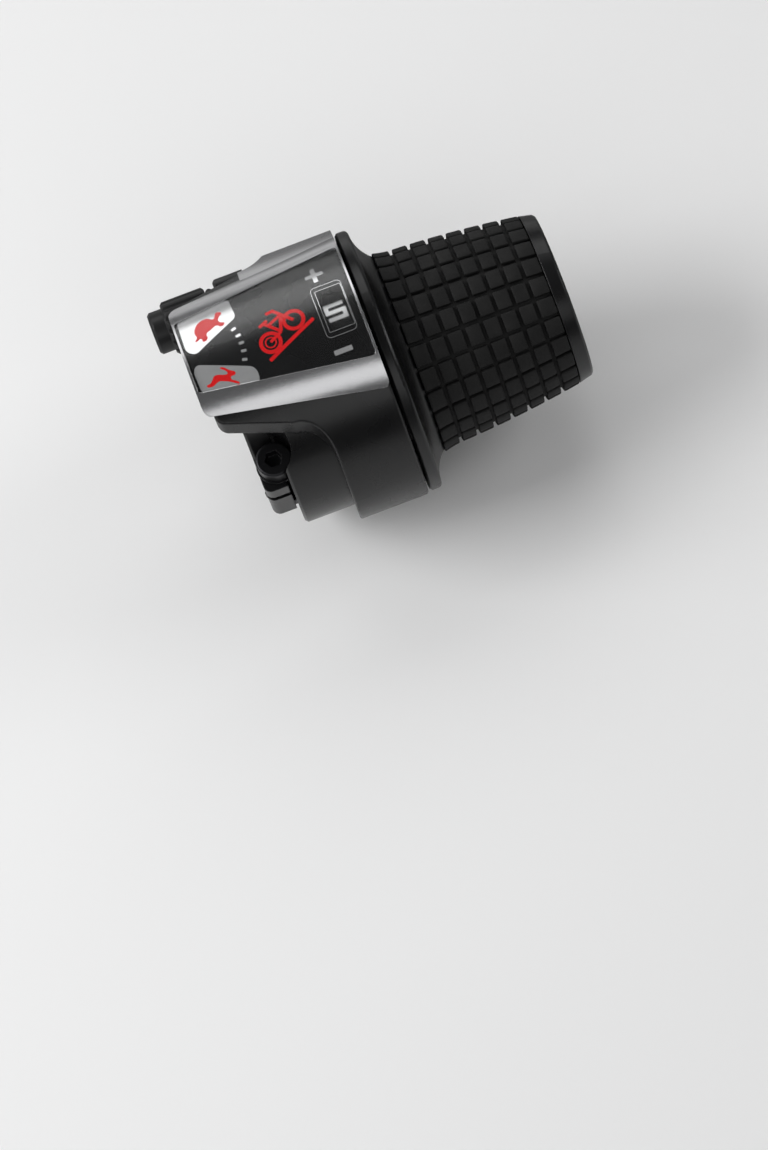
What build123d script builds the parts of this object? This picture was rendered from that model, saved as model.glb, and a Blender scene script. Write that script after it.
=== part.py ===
from build123d import *
import math
import os

# Twist grip shifter for a bicycle handlebar, five gears, in millimetres.
# The origin is on the bar axis where the housing meets the grip.
# +X runs along the bar to its outer end, +Y points forward and away from the rider,
# +Z points up through the gear display.
# Angles round the bar are counted from +Z towards +Y.

# Bar, running fits and gaps
BAR_R = 11.1
BAR_CLEARANCE = 0.05
SLEEVE_WALL = 1.2
RUN_CLEARANCE = 0.08
SPIGOT_WALL = 1.35
FIT = 0.05
SIDE_GAP = 0.4

# Housing
SHELL_R = 26.8
SHELL_WALL = 2.0
SHELL_EDGE = 0.4
STEP_DEPTH = 3.1
RIM_WALL = 2.0
HOUSING_LENGTH = 24.6
BARREL_LENGTH = 14.5
END_WALL = 3.4
LIP_WIDTH = 3.4
ARCH_R = 5.5
ARCH_HALF = 17.5
ARCH_EDGE = 0.5
VISOR_HALF_LEFT = 13.6
VISOR_SETBACK = 1.6
VISOR_CORNER = 2.0
STEP_EDGE = 0.5
BOSS_EDGE = 0.5
CLAMP_EDGE = 0.5
LUG_EDGE = 0.8
# Pockets in the end wall, with ribs between them
POCKET_DEPTH = 1.4
POCKET_RIM = 1.5
POCKET_SPAN = 20
POCKET_PITCH = 24
FRONT_POCKETS = 6
FRONT_POCKET_ANGLE = 98
TOP_POCKETS = 3
TOP_POCKET_ANGLE = -22

# Display and silver cover
COVER_RISE = 1.2
COVER_LENGTH = 34.7
COVER_HALF_LEFT = 12.3
COVER_HALF_RIGHT = 17.8
COVER_CORNER_LEFT = 2.4
COVER_CORNER_RIGHT = 1.0
ROLL_R = 14.0
COVER_BACK = 0.6
OPENING_HALF_LEFT = 8.1
OPENING_HALF_RIGHT = 12.8
OPENING_CORNER = 0.8
END_RIM = 0.45
PANEL_THICKNESS = 0.45
LENS_RECESS = 0.05
PRINT_GAP = 0.06
LENS_FOOT = 0.4
SKIRT_THICKNESS = 0.6
SKIRT_ANGLE = 66.0
SKIRT_TOP_ANGLE = 31.0
WINDOW_X = -5.05
WINDOW_Y = -1.2
WINDOW_LENGTH = 4.9
WINDOW_WIDTH = 9.0

# Clamp ring, its lug and bolt
CLAMP_WIDTH = 5.1
CLAMP_WALL = 3.85
CLAMP_SLIT = 1.6
RELIEF_SLIT = 0.6
RELIEF_START = 3.0
BOLT_INSET = 1.4
BOLT_OFFSET = 1.2
LUG_TOP = 5.2
LUG_HEIGHT = 14.4
LUG_REACH = 4.6
LUG_CORNER = 1.6
BOLT_TILT = 10.0
BOLT_R = 2.0
BOLT_HEAD_R = 3.5
BOLT_HEAD_H = 3.6
BOLT_HOLE_CLEARANCE = 0.2
HEX_SOCKET = 3.0
HEX_DEPTH = 2.2
BOLT_EDGE = 0.5
WASHER_R = 3.8
WASHER_T = 0.7
POCKET_CLEARANCE = 0.2
NUT_FLATS = 7.0
NUT_T = 2.4

# Cable outlet, guide and adjuster
BOSS_INSET = 3.0
CABLE_ANGLE = 52.85
CABLE_HOLE_R = 0.8
BOSS_R = 5.8
BOSS_STAND = 0.6
BOSS_DEPTH = 5.6
BOSS_TRIM_R = 16.4
THREAD_R = 3.0
THREAD_CLEARANCE = 0.08
THREAD_DEPTH = 4.4
GUIDE_R = 1.3
GUIDE_BEND = 5.0
GUIDE_SOCKET = 1.2
ADJUSTER_HEAD_R = 5.3
ADJUSTER_HEAD_L = 9.0
ADJUSTER_NECK_L = 2.0
ADJUSTER_NOSE_R = 4.2
ADJUSTER_NOSE_L = 3.0
ADJUSTER_EDGE = 0.5
ADJUSTER_FLUTES = 14
FLUTE_R = 0.8
HOUSING_SOCKET_R = 2.6
HOUSING_SOCKET_L = 8.0
FRICTION_RING_R = 0.75

# Turning inner parts, in order along the bar
THRUST_T = 0.6
CLIP_MARGIN = 0.6
CLIP_T = 0.8
CLIP_REACH = 2.1
CLIP_GROOVE = 0.5
CLIP_OPENING = 50.0
DRUM_HUB_R = 15.0
SPOOL_R = 16.0
SPOOL_W = 3.6
CABLE_PATH_R = 15.2
CABLE_R = 0.6
NIPPLE_R = 1.6
NIPPLE_ANGLE = 200.0
NIPPLE_FLOOR = 0.3
KEY_COUNT = 3
KEY_WIDTH = 2.0
KEY_HEIGHT = 0.5
INDEX_T = 1.9
GEARS = 5
GEAR_STEP = 18.0
NOTCH_R = 1.3
NUMBER_RING_GAP = 0.5
NUMBER_RING_WALL = 1.3
NUMBER_WEB_T = 1.1
WEB_HOLES = 6
WEB_HOLE_R = 2.2
SPRING_T = 0.45
SPRING_W = 2.0
SPRING_FOOT_ANGLE = 38.0
SPRING_FOOT_SPAN = 10.0
SPRING_ARM_ANGLE = 15.0
SPRING_BUMP_ANGLE = 5.0
SPRING_TAIL_ANGLE = 12.0
SPRING_ROOM = 2.1
SPRING_LIFT = 1.1
SPRING_DROP = 0.85
SCREW_R = 0.6
SCREW_HEAD_R = 0.95
SCREW_HEAD_H = 0.6
SCREW_BITE = 1.5

# Shell and cover screws
SHELL_SCREW_ANGLES = (115.0, 230.0)
SHELL_SCREW_R = 1.2
SHELL_SCREW_HEAD_R = 1.5
SHELL_SCREW_HEAD_H = 1.2
SHELL_SCREW_SINK = 0.3
SHELL_SCREW_BITE = 1.6
COVER_SCREW_X = -31.0
COVER_SCREW_Y = 10.4
COVER_SCREW_R = 0.8
COVER_SCREW_HEAD_R = 1.5
COVER_SCREW_HEAD_H = 1.0
COVER_SCREW_BITE = 0.6

# Grip
FLANGE_INSET = 0.4
FLANGE_T = 2.6
FLANGE_EDGE = 0.9
NECK_R = 19.8
NECK_HOLLOW = 1.0
FLANGE_POCKET_IN = 16.0
FLANGE_POCKET_WALL = 2.0
FLANGE_POCKET_DEPTH = 1.4
RUBBER_LEFT = 5.4
RUBBER_RIGHT = 34.3
RUBBER_R_LEFT = 20.4
RUBBER_FLARE_X = 9.0
RUBBER_R_FLARE = 19.75
RUBBER_SAG = 0.35
RUBBER_R_RIGHT = 17.2
RUBBER_BASE = 1.0
RUBBER_COLUMNS = 8
RUBBER_ROWS = 26
GROOVE_W = 0.75
GROOVE_DEPTH = 1.0
COLLAR_LEFT = 34.5
COLLAR_RIGHT = 37.4
COLLAR_R = 17.1
COLLAR_END_R = 16.5
COLLAR_EDGE = 0.4
SLEEVE_SETBACK = 1.0


def around_bar(radius, angle):
    """Return the (y, z) point at a radius and an angle counted from +Z towards +Y."""
    turn = math.radians(angle)
    return radius * math.sin(turn), radius * math.cos(turn)


def height_on(radius, y):
    """Return the height of a circle round the bar at a sideways distance."""
    return math.sqrt(radius**2 - y**2)


# Radii and stations that follow from the sizes above
BORE_R = BAR_R + BAR_CLEARANCE
SLEEVE_R = BORE_R + SLEEVE_WALL
GRIP_BORE_R = SLEEVE_R + RUN_CLEARANCE
SPIGOT_R = GRIP_BORE_R + SPIGOT_WALL
STEP_R = SHELL_R - STEP_DEPTH
RIM_IN_R = STEP_R - RIM_WALL
SHELL_IN_R = SHELL_R - SHELL_WALL
INDEX_R = RIM_IN_R - SPRING_ROOM
SPRING_ARM_R = INDEX_R + SPRING_LIFT
SPRING_BUMP_R = INDEX_R - SPRING_DROP
FLANGE_R = SHELL_R - FLANGE_INSET
CABLE_CENTRE_R = STEP_R - BOSS_INSET
CABLE_Y, CABLE_Z = around_bar(CABLE_CENTRE_R, CABLE_ANGLE)
LIP_R = STEP_R + FIT
SEAT_R = SHELL_R + FIT / 2
COVER_R = SHELL_R + COVER_RISE
PANEL_R = SEAT_R + PANEL_THICKNESS
LENS_R = COVER_R - LENS_RECESS
CLAMP_R = BORE_R + CLAMP_WALL
BOLT_Y = -CLAMP_R - BOLT_OFFSET
NUMBER_R = SHELL_IN_R - NUMBER_RING_GAP
NUMBER_IN_R = NUMBER_R - NUMBER_RING_WALL
WEB_HOLE_RING_R = (SPIGOT_R + NUMBER_IN_R) / 2
CLIP_R = SPIGOT_R - CLIP_GROOVE + CLIP_REACH

HOUSING_LEFT = -HOUSING_LENGTH
POCKET_IN_R = CLAMP_R + POCKET_RIM
POCKET_OUT_R = STEP_R - POCKET_RIM
POCKET_ANGLES = [FRONT_POCKET_ANGLE + POCKET_PITCH * row for row in range(FRONT_POCKETS)]
POCKET_ANGLES += [TOP_POCKET_ANGLE + POCKET_PITCH * row for row in range(TOP_POCKETS)]
CLAMP_LEFT = HOUSING_LEFT - CLAMP_WIDTH
BOLT_X = HOUSING_LEFT - BOLT_INSET
SHELL_RIGHT = -SIDE_GAP
SHELL_WALL_LEFT = SHELL_RIGHT - SHELL_WALL
STEP_X = -BARREL_LENGTH
LIP_RIGHT = STEP_X + LIP_WIDTH
COVER_RIGHT = SHELL_RIGHT
COVER_LEFT = COVER_RIGHT - COVER_LENGTH
VISOR_LEFT = COVER_LEFT + VISOR_SETBACK
WALL_RIGHT = HOUSING_LEFT + END_WALL
SPIGOT_LEFT = WALL_RIGHT + THRUST_T + SIDE_GAP
CLIP_LEFT = SPIGOT_LEFT + CLIP_MARGIN
DRUM_LEFT = CLIP_LEFT + CLIP_T
BOSS_RIGHT = HOUSING_LEFT + BOSS_DEPTH
GROOVE_X = BOSS_RIGHT + GUIDE_BEND
SPOOL_LEFT = GROOVE_X - SPOOL_W / 2
INDEX_LEFT = SPOOL_LEFT + SPOOL_W
INDEX_RIGHT = INDEX_LEFT + INDEX_T
NUMBER_LEFT = max(INDEX_RIGHT, LIP_RIGHT + SIDE_GAP)
NUMBER_RIGHT = SHELL_WALL_LEFT - SIDE_GAP
RIM_RIGHT = NUMBER_LEFT - SIDE_GAP
BOSS_LEFT = HOUSING_LEFT - BOSS_STAND
GUIDE_START = BOSS_RIGHT - GUIDE_SOCKET
ADJUSTER_NECK_LEFT = BOSS_LEFT - ADJUSTER_NECK_L
ADJUSTER_HEAD_LEFT = ADJUSTER_NECK_LEFT - ADJUSTER_HEAD_L
ADJUSTER_LEFT = ADJUSTER_HEAD_LEFT - ADJUSTER_NOSE_L
SLEEVE_RIGHT = COLLAR_RIGHT - SLEEVE_SETBACK
SPRING_X = INDEX_RIGHT - SIDE_GAP - SPRING_W / 2
SPRING_SCREW_ANGLE = 180 - SPRING_FOOT_ANGLE + SPRING_FOOT_SPAN / 2
SPRING_FOOT_R = RIM_IN_R - SPRING_T / 2 - FIT
SPRING_SCREW_SEAT_R = SPRING_FOOT_R - SPRING_T / 2 - FIT
SHELL_SCREW_X = (STEP_X + LIP_RIGHT) / 2
SHELL_SCREW_SEAT_R = SHELL_R - SHELL_SCREW_SINK - SHELL_SCREW_HEAD_H
SHELL_HOLE_R = SPIGOT_R + SIDE_GAP
OPENING_LEFT = COVER_LEFT + END_RIM
OPENING_RIGHT = COVER_RIGHT - END_RIM
COVER_SCREW_PLACES = [(COVER_SCREW_X, -COVER_SCREW_Y), (COVER_SCREW_X, COVER_SCREW_Y)]
COVER_SCREW_SEAT_Z = height_on(LIP_R, COVER_SCREW_Y) + COVER_SCREW_HEAD_H
COVER_SCREW_TOP_Z = height_on(SEAT_R, COVER_SCREW_Y) + COVER_SCREW_BITE
SKIRT_LEFT = STEP_X - ARCH_R
ADJUSTER_TIP = BOSS_LEFT + THREAD_DEPTH - SIDE_GAP
RUBBER_SEAT_LEFT = RUBBER_R_FLARE - GROOVE_DEPTH - RUBBER_BASE
RUBBER_SEAT_RIGHT = RUBBER_R_RIGHT - GROOVE_DEPTH - RUBBER_BASE
COLUMN_PITCH = (RUBBER_RIGHT - RUBBER_LEFT) / RUBBER_COLUMNS
NECK_MIDDLE_X = (FLANGE_T + RUBBER_LEFT) / 2 - NECK_HOLLOW / 2
NECK_MIDDLE_R = (FLANGE_R - FLANGE_EDGE + NECK_R) / 2 - NECK_HOLLOW / 2
LEAD_ANGLE = CABLE_ANGLE - 180 + math.degrees(math.asin(CABLE_PATH_R / CABLE_CENTRE_R))
LEAD_Y, LEAD_Z = around_bar(1, LEAD_ANGLE)

CABLE_AXIS = Axis((0, CABLE_Y, CABLE_Z), (1, 0, 0))
BOLT_PLANE = Plane(
    origin=(BOLT_X, BOLT_Y, LUG_TOP),
    x_dir=(1, 0, 0),
    z_dir=(0, -math.sin(math.radians(BOLT_TILT)), math.cos(math.radians(BOLT_TILT))),
)


def across_bar(x):
    """Return the plane square to the bar at a station, with Y to its right and Z up."""
    return Plane((x, 0, 0), x_dir=(0, 1, 0), z_dir=(1, 0, 0))


def across_cable(x):
    """Return the plane square to the cable outlet at a station."""
    return Plane((x, CABLE_Y, CABLE_Z), x_dir=(0, 1, 0), z_dir=(1, 0, 0))


def radial_plane(x, radius, angle):
    """Return a plane on a cylinder round the bar, its normal pointing away from the bar."""
    y, z = around_bar(radius, angle)
    return Plane((x, y, z), x_dir=(1, 0, 0), z_dir=(0, y, z))


def turned(points, mode=Mode.ADD):
    """Turn a closed outline of (x, radius) points about the bar."""
    with BuildSketch(Plane.XZ) as outline:
        with BuildLine():
            Polyline(*points, close=True)
        make_face()
    revolve(outline.sketch, axis=Axis.X, mode=mode)


def turned_on_cable(points, mode=Mode.ADD):
    """Turn a closed outline of (x, radius) points about the cable outlet."""
    plane = Plane((0, CABLE_Y, CABLE_Z), x_dir=(1, 0, 0), z_dir=(0, -1, 0))
    with BuildSketch(plane) as outline:
        with BuildLine():
            Polyline(*points, close=True)
        make_face()
    revolve(outline.sketch, axis=CABLE_AXIS, mode=mode)


def ring_outline(left, right, inner, outer):
    """Return the outline of a plain ring."""
    return [(left, inner), (right, inner), (right, outer), (left, outer)]


def half_plane(angle):
    """Return the plane through the bar at an angle, with X to its right and radii up."""
    y, z = around_bar(1, angle)
    return Plane((0, 0, 0), x_dir=(1, 0, 0), z_dir=(0, -z, y))


def key_sketch(x, clearance):
    """Return the spigot's keys in section, or their slots with a clearance."""
    with BuildSketch(across_bar(x)) as keys:
        with PolarLocations(SPIGOT_R, KEY_COUNT):
            Rectangle(2 * (KEY_HEIGHT + clearance), KEY_WIDTH + 2 * clearance)
    return keys.sketch


def rubber_radius(x):
    """Return the blocks' outer radius at a station, from the flare to the end."""
    share = (x - RUBBER_FLARE_X) / (RUBBER_RIGHT - RUBBER_FLARE_X)
    bulge = 4 * RUBBER_SAG * share * (1 - share)
    return RUBBER_R_FLARE + share * (RUBBER_R_RIGHT - RUBBER_R_FLARE) + bulge


def plan_trapezoid(left, right, half_left, half_right, corner_left, corner_right):
    """Return a trapezoid seen from above, with rounded corners."""
    with BuildSketch(Plane.XY) as plan:
        with BuildLine():
            Polyline(
                (left, -half_left), (right, -half_right), (right, half_right), (left, half_left),
                close=True,
            )
        make_face()
        fillet(plan.vertices().group_by(Axis.X)[0], corner_left)
        fillet(plan.vertices().group_by(Axis.X)[-1], corner_right)
    return plan.sketch


def cover_section(x, inner_half, outer_half):
    """Return the cover's section: a crown round the bar, a roll each side and a hollow back."""
    crown_z = height_on(COVER_R, inner_half)
    roll_y = inner_half * (1 - ROLL_R / COVER_R)
    roll_z = crown_z * (1 - ROLL_R / COVER_R)
    middle_y = (inner_half + outer_half) / 2
    middle_z = roll_z + height_on(ROLL_R, middle_y - roll_y)
    edge_z = roll_z + height_on(ROLL_R, outer_half - roll_y)
    shrink = (SEAT_R - COVER_BACK) / math.hypot(outer_half, edge_z)
    foot_y, foot_z = outer_half * shrink, edge_z * shrink
    with BuildSketch(across_bar(x)) as section:
        with BuildLine():
            ThreePointArc((-inner_half, crown_z), (0, COVER_R), (inner_half, crown_z))
            ThreePointArc((inner_half, crown_z), (middle_y, middle_z), (outer_half, edge_z))
            Line((outer_half, edge_z), (foot_y, foot_z))
            ThreePointArc((foot_y, foot_z), (0, SEAT_R - COVER_BACK), (-foot_y, foot_z))
            Line((-foot_y, foot_z), (-outer_half, edge_z))
            ThreePointArc((-outer_half, edge_z), (-middle_y, middle_z), (-inner_half, crown_z))
        make_face()
    return section.sketch


def on_radius(edge, radius):
    """Tell whether an edge lies on a radius round the bar from its start to its end."""
    places = [edge.position_at(part) for part in (0, 0.5, 1)]
    return all(abs(math.hypot(place.Y, place.Z) - radius) < FIT / 2 for place in places)


def arch_plan(right):
    """Return the visor seen from above, widening in a round arch to the barrel each side."""
    straight_end = STEP_X - ARCH_R
    barrel_half = ARCH_HALF + ARCH_R
    turn = ARCH_R * (1 - math.sqrt(0.5))
    with BuildSketch(Plane.XY) as plan:
        with BuildLine():
            Polyline((straight_end, -ARCH_HALF), (VISOR_LEFT, -VISOR_HALF_LEFT),
                     (VISOR_LEFT, VISOR_HALF_LEFT), (straight_end, ARCH_HALF))
            ThreePointArc((straight_end, ARCH_HALF), (STEP_X - turn, ARCH_HALF + turn),
                          (STEP_X, barrel_half))
            Polyline((STEP_X, barrel_half), (STEP_X, SHELL_R + STEP_DEPTH),
                     (right, SHELL_R + STEP_DEPTH), (right, -SHELL_R - STEP_DEPTH),
                     (STEP_X, -SHELL_R - STEP_DEPTH), (STEP_X, -barrel_half))
            ThreePointArc((STEP_X, -barrel_half), (STEP_X - turn, -ARCH_HALF - turn),
                          (straight_end, -ARCH_HALF))
        make_face()
        fillet(plan.vertices().group_by(Axis.X)[0], VISOR_CORNER)
    return plan.sketch


os.makedirs("parts", exist_ok=True)


# Lug of the clamp ring, eased at its foot before it joins the bracket
with BuildPart() as clamp_lug:
    with BuildSketch(BOLT_PLANE) as lug:
        with Locations(((CLAMP_LEFT + HOUSING_LEFT) / 2 - BOLT_X, 0)):
            Rectangle(CLAMP_WIDTH, 2 * LUG_REACH)
        fillet(lug.vertices().sort_by(Axis.Y)[0:2].sort_by(Axis.X)[0], LUG_CORNER)
    extrude(amount=-LUG_HEIGHT)
    foot = clamp_lug.faces().filter_by(BOLT_PLANE).sort_by(Axis((0, 0, 0), BOLT_PLANE.z_dir))[0]
    chamfer(foot.edges().sort_by(Axis.Y)[0], LUG_EDGE)

# Bracket: bar sleeve, end wall, rim, split clamp ring and cable boss in one moulding
with BuildPart() as bracket:
    turned([
        (CLAMP_LEFT, BORE_R), (SLEEVE_RIGHT, BORE_R), (SLEEVE_RIGHT, SLEEVE_R),
        (WALL_RIGHT, SLEEVE_R), (WALL_RIGHT, RIM_IN_R), (RIM_RIGHT, RIM_IN_R),
        (RIM_RIGHT, STEP_R), (HOUSING_LEFT + STEP_EDGE, STEP_R),
        (HOUSING_LEFT, STEP_R - STEP_EDGE), (HOUSING_LEFT, CLAMP_R),
        (CLAMP_LEFT + CLAMP_EDGE, CLAMP_R), (CLAMP_LEFT, CLAMP_R - CLAMP_EDGE),
    ])
    # Pockets between ribs, clear of the boss and the lug
    for angle in POCKET_ANGLES:
        with BuildSketch(half_plane(angle)):
            with Locations((HOUSING_LEFT + POCKET_DEPTH / 2, (POCKET_IN_R + POCKET_OUT_R) / 2)):
                Rectangle(POCKET_DEPTH, POCKET_OUT_R - POCKET_IN_R)
        revolve(axis=Axis.X, revolution_arc=POCKET_SPAN, mode=Mode.SUBTRACT)
    turned_on_cable([
        (BOSS_LEFT, 0), (BOSS_RIGHT, 0), (BOSS_RIGHT, BOSS_R), (BOSS_LEFT + BOSS_EDGE, BOSS_R),
        (BOSS_LEFT, BOSS_R - BOSS_EDGE),
    ])
    turned(ring_outline(WALL_RIGHT, BOSS_RIGHT, SLEEVE_R, BOSS_TRIM_R), mode=Mode.SUBTRACT)
    # The lug hangs from the bolt's seat and joins the clamp ring
    add(clamp_lug.part)
    # The head's pocket bites into the end wall behind it
    with BuildSketch(BOLT_PLANE):
        Circle(WASHER_R + POCKET_CLEARANCE)
    extrude(amount=SHELL_R, mode=Mode.SUBTRACT)
    with BuildSketch(BOLT_PLANE):
        Circle(BOLT_R + BOLT_HOLE_CLEARANCE)
    extrude(amount=-LUG_HEIGHT, mode=Mode.SUBTRACT)
    with BuildSketch(BOLT_PLANE.offset(-LUG_HEIGHT)):
        RegularPolygon(NUT_FLATS / 2 + FIT, 6, major_radius=False)
    extrude(amount=NUT_T, mode=Mode.SUBTRACT)
    # One slit lets the ring close, and another frees it from the end wall
    with BuildSketch(across_bar(CLAMP_LEFT)):
        with Locations((-SHELL_R / 2, 0)):
            Rectangle(SHELL_R, CLAMP_SLIT)
    extrude(amount=CLAMP_WIDTH, mode=Mode.SUBTRACT)
    with BuildSketch(across_bar(HOUSING_LEFT - RELIEF_SLIT)):
        with Locations((-SHELL_R / 2 - RELIEF_START, 0)):
            Rectangle(SHELL_R, 2 * SHELL_R)
    extrude(amount=RELIEF_SLIT, mode=Mode.SUBTRACT)
    # The bar's bore goes through the lug and the boss
    turned([
        (CLAMP_LEFT, 0), (SLEEVE_RIGHT, 0), (SLEEVE_RIGHT, BORE_R), (CLAMP_LEFT, BORE_R),
    ], mode=Mode.SUBTRACT)
    # Threaded hole, cable hole and the guide's socket
    turned_on_cable([
        (BOSS_LEFT, 0), (GROOVE_X, 0), (GROOVE_X, GUIDE_R + FIT), (GUIDE_START, GUIDE_R + FIT),
        (GUIDE_START, CABLE_HOLE_R), (BOSS_LEFT + THREAD_DEPTH, CABLE_HOLE_R),
        (BOSS_LEFT + THREAD_DEPTH, THREAD_R + THREAD_CLEARANCE),
        (BOSS_LEFT, THREAD_R + THREAD_CLEARANCE),
    ], mode=Mode.SUBTRACT)
    # Holes in the rim for the spring's screw and the shell's screws
    with BuildSketch(radial_plane(SPRING_X, RIM_IN_R, SPRING_SCREW_ANGLE)):
        Circle(SCREW_R + FIT)
    extrude(amount=SCREW_BITE, both=True, mode=Mode.SUBTRACT)
    for angle in SHELL_SCREW_ANGLES:
        with BuildSketch(radial_plane(SHELL_SCREW_X, STEP_R, angle)):
            Circle(SHELL_SCREW_R + FIT)
    extrude(amount=SHELL_SCREW_BITE, both=True, mode=Mode.SUBTRACT)

# Outer shell: barrel with its end wall, and the visor that carries the display
with BuildPart() as outer_shell:
    turned(ring_outline(VISOR_LEFT, LIP_RIGHT, LIP_R, SHELL_R))
    extrude(arch_plan(LIP_RIGHT), amount=COVER_R, mode=Mode.INTERSECT)
    turned([
        (SHELL_RIGHT, SHELL_HOLE_R), (SHELL_RIGHT, SHELL_R - SHELL_EDGE),
        (SHELL_RIGHT - SHELL_EDGE, SHELL_R), (STEP_X, SHELL_R), (STEP_X, LIP_R),
        (LIP_RIGHT, LIP_R), (LIP_RIGHT, SHELL_IN_R), (SHELL_WALL_LEFT, SHELL_IN_R),
        (SHELL_WALL_LEFT, SHELL_HOLE_R),
    ])
    # Eased edge along the visor, the arches and the barrel's step
    left_of_step = outer_shell.edges().filter_by_position(Axis.X, VISOR_LEFT, STEP_X + FIT / 2)
    fillet([edge for edge in left_of_step if on_radius(edge, SHELL_R)], ARCH_EDGE)
    # Room for the cable boss and the adjuster
    with BuildSketch(across_cable(VISOR_LEFT)):
        Circle(BOSS_R + SIDE_GAP)
    extrude(amount=BOSS_RIGHT + SIDE_GAP - VISOR_LEFT, mode=Mode.SUBTRACT)
    with BuildSketch(Plane.XY):
        with Locations((WINDOW_X, WINDOW_Y)):
            Rectangle(WINDOW_LENGTH, WINDOW_WIDTH)
    extrude(amount=COVER_R, mode=Mode.SUBTRACT)
    for angle in SHELL_SCREW_ANGLES:
        with BuildSketch(radial_plane(SHELL_SCREW_X, SHELL_R, angle)):
            Circle(SHELL_SCREW_R + FIT)
    extrude(amount=STEP_DEPTH, both=True, mode=Mode.SUBTRACT)
    for angle in SHELL_SCREW_ANGLES:
        with BuildSketch(radial_plane(SHELL_SCREW_X, SHELL_SCREW_SEAT_R, angle)):
            Circle(SHELL_SCREW_HEAD_R + FIT)
    extrude(amount=STEP_DEPTH, mode=Mode.SUBTRACT)
    # Holes for the cover's screws, counterbored from below
    with BuildSketch(Plane.XY):
        with Locations(*COVER_SCREW_PLACES):
            Circle(COVER_SCREW_R + FIT)
    extrude(amount=COVER_R, mode=Mode.SUBTRACT)
    with BuildSketch(Plane.XY):
        with Locations(*COVER_SCREW_PLACES):
            Circle(COVER_SCREW_HEAD_R + FIT)
    extrude(amount=COVER_SCREW_SEAT_Z, mode=Mode.SUBTRACT)

# Skirt of the silver cover, down the front of the barrel, with its edge on the arch
with BuildPart() as cover_skirt:
    with BuildSketch(half_plane(SKIRT_ANGLE)):
        with Locations(((SKIRT_LEFT + COVER_RIGHT) / 2, SEAT_R + SKIRT_THICKNESS / 2)):
            Rectangle(COVER_RIGHT - SKIRT_LEFT, SKIRT_THICKNESS)
    revolve(axis=Axis.X, revolution_arc=SKIRT_ANGLE - SKIRT_TOP_ANGLE)
    extrude(arch_plan(COVER_RIGHT), amount=COVER_R, mode=Mode.INTERSECT)

# Silver cover: a crowned frame with rolled sides, and the skirt
with BuildPart() as cover_frame:
    loft([
        cover_section(COVER_LEFT, OPENING_HALF_LEFT, COVER_HALF_LEFT),
        cover_section(COVER_RIGHT, OPENING_HALF_RIGHT, COVER_HALF_RIGHT),
    ])
    extrude(plan_trapezoid(COVER_LEFT, COVER_RIGHT, COVER_HALF_LEFT, COVER_HALF_RIGHT,
                           COVER_CORNER_LEFT, COVER_CORNER_RIGHT),
            amount=COVER_R + END_RIM, mode=Mode.INTERSECT)
    turned(ring_outline(COVER_LEFT, COVER_RIGHT, 0, SEAT_R), mode=Mode.SUBTRACT)
    add(cover_skirt.part)
    extrude(plan_trapezoid(OPENING_LEFT, OPENING_RIGHT, OPENING_HALF_LEFT, OPENING_HALF_RIGHT,
                           OPENING_CORNER, OPENING_CORNER),
            amount=COVER_R + END_RIM, mode=Mode.SUBTRACT)
    with BuildSketch(Plane.XY):
        with Locations(*COVER_SCREW_PLACES):
            Circle(COVER_SCREW_R + FIT)
    extrude(amount=COVER_SCREW_TOP_Z, mode=Mode.SUBTRACT)

# Display: black panel with the gear window, and the clear lens that stands clear of its print
with BuildPart() as display_panel:
    turned(ring_outline(OPENING_LEFT, OPENING_RIGHT, SEAT_R, PANEL_R))
    extrude(plan_trapezoid(OPENING_LEFT + FIT, OPENING_RIGHT - FIT, OPENING_HALF_LEFT - FIT,
                           OPENING_HALF_RIGHT - FIT, OPENING_CORNER, OPENING_CORNER),
            amount=COVER_R, mode=Mode.INTERSECT)
    with BuildSketch(Plane.XY):
        with Locations((WINDOW_X, WINDOW_Y)):
            Rectangle(WINDOW_LENGTH, WINDOW_WIDTH)
    extrude(amount=COVER_R, mode=Mode.SUBTRACT)

with BuildPart() as display_lens:
    turned(ring_outline(OPENING_LEFT, OPENING_RIGHT, PANEL_R, LENS_R))
    extrude(plan_trapezoid(OPENING_LEFT + FIT, OPENING_RIGHT - FIT, OPENING_HALF_LEFT - FIT,
                           OPENING_HALF_RIGHT - FIT, OPENING_CORNER, OPENING_CORNER),
            amount=COVER_R, mode=Mode.INTERSECT)
    turned(ring_outline(OPENING_LEFT + LENS_FOOT, OPENING_RIGHT - LENS_FOOT, SEAT_R,
                        PANEL_R + PRINT_GAP), mode=Mode.SUBTRACT)

# Clamp bolt with its washer and nut
with BuildPart() as clamp_washer:
    with BuildSketch(BOLT_PLANE):
        Circle(WASHER_R)
        Circle(BOLT_R + FIT, mode=Mode.SUBTRACT)
    extrude(amount=WASHER_T)

with BuildPart() as clamp_bolt:
    with BuildSketch(BOLT_PLANE.offset(WASHER_T)):
        Circle(BOLT_HEAD_R)
    extrude(amount=BOLT_HEAD_H)
    head_rim = clamp_bolt.edges().sort_by(Axis(BOLT_PLANE.origin, BOLT_PLANE.z_dir))[-1]
    fillet(head_rim, BOLT_EDGE)
    with BuildSketch(BOLT_PLANE.offset(WASHER_T + BOLT_HEAD_H)):
        RegularPolygon(HEX_SOCKET / 2, 6, major_radius=False)
    extrude(amount=-HEX_DEPTH, mode=Mode.SUBTRACT)
    with BuildSketch(BOLT_PLANE.offset(WASHER_T)):
        Circle(BOLT_R)
    extrude(amount=-WASHER_T - LUG_HEIGHT)

with BuildPart() as clamp_nut:
    with BuildSketch(BOLT_PLANE.offset(-LUG_HEIGHT)):
        RegularPolygon(NUT_FLATS / 2, 6, major_radius=False)
        Circle(BOLT_R + FIT, mode=Mode.SUBTRACT)
    extrude(amount=NUT_T - FIT)

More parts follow.
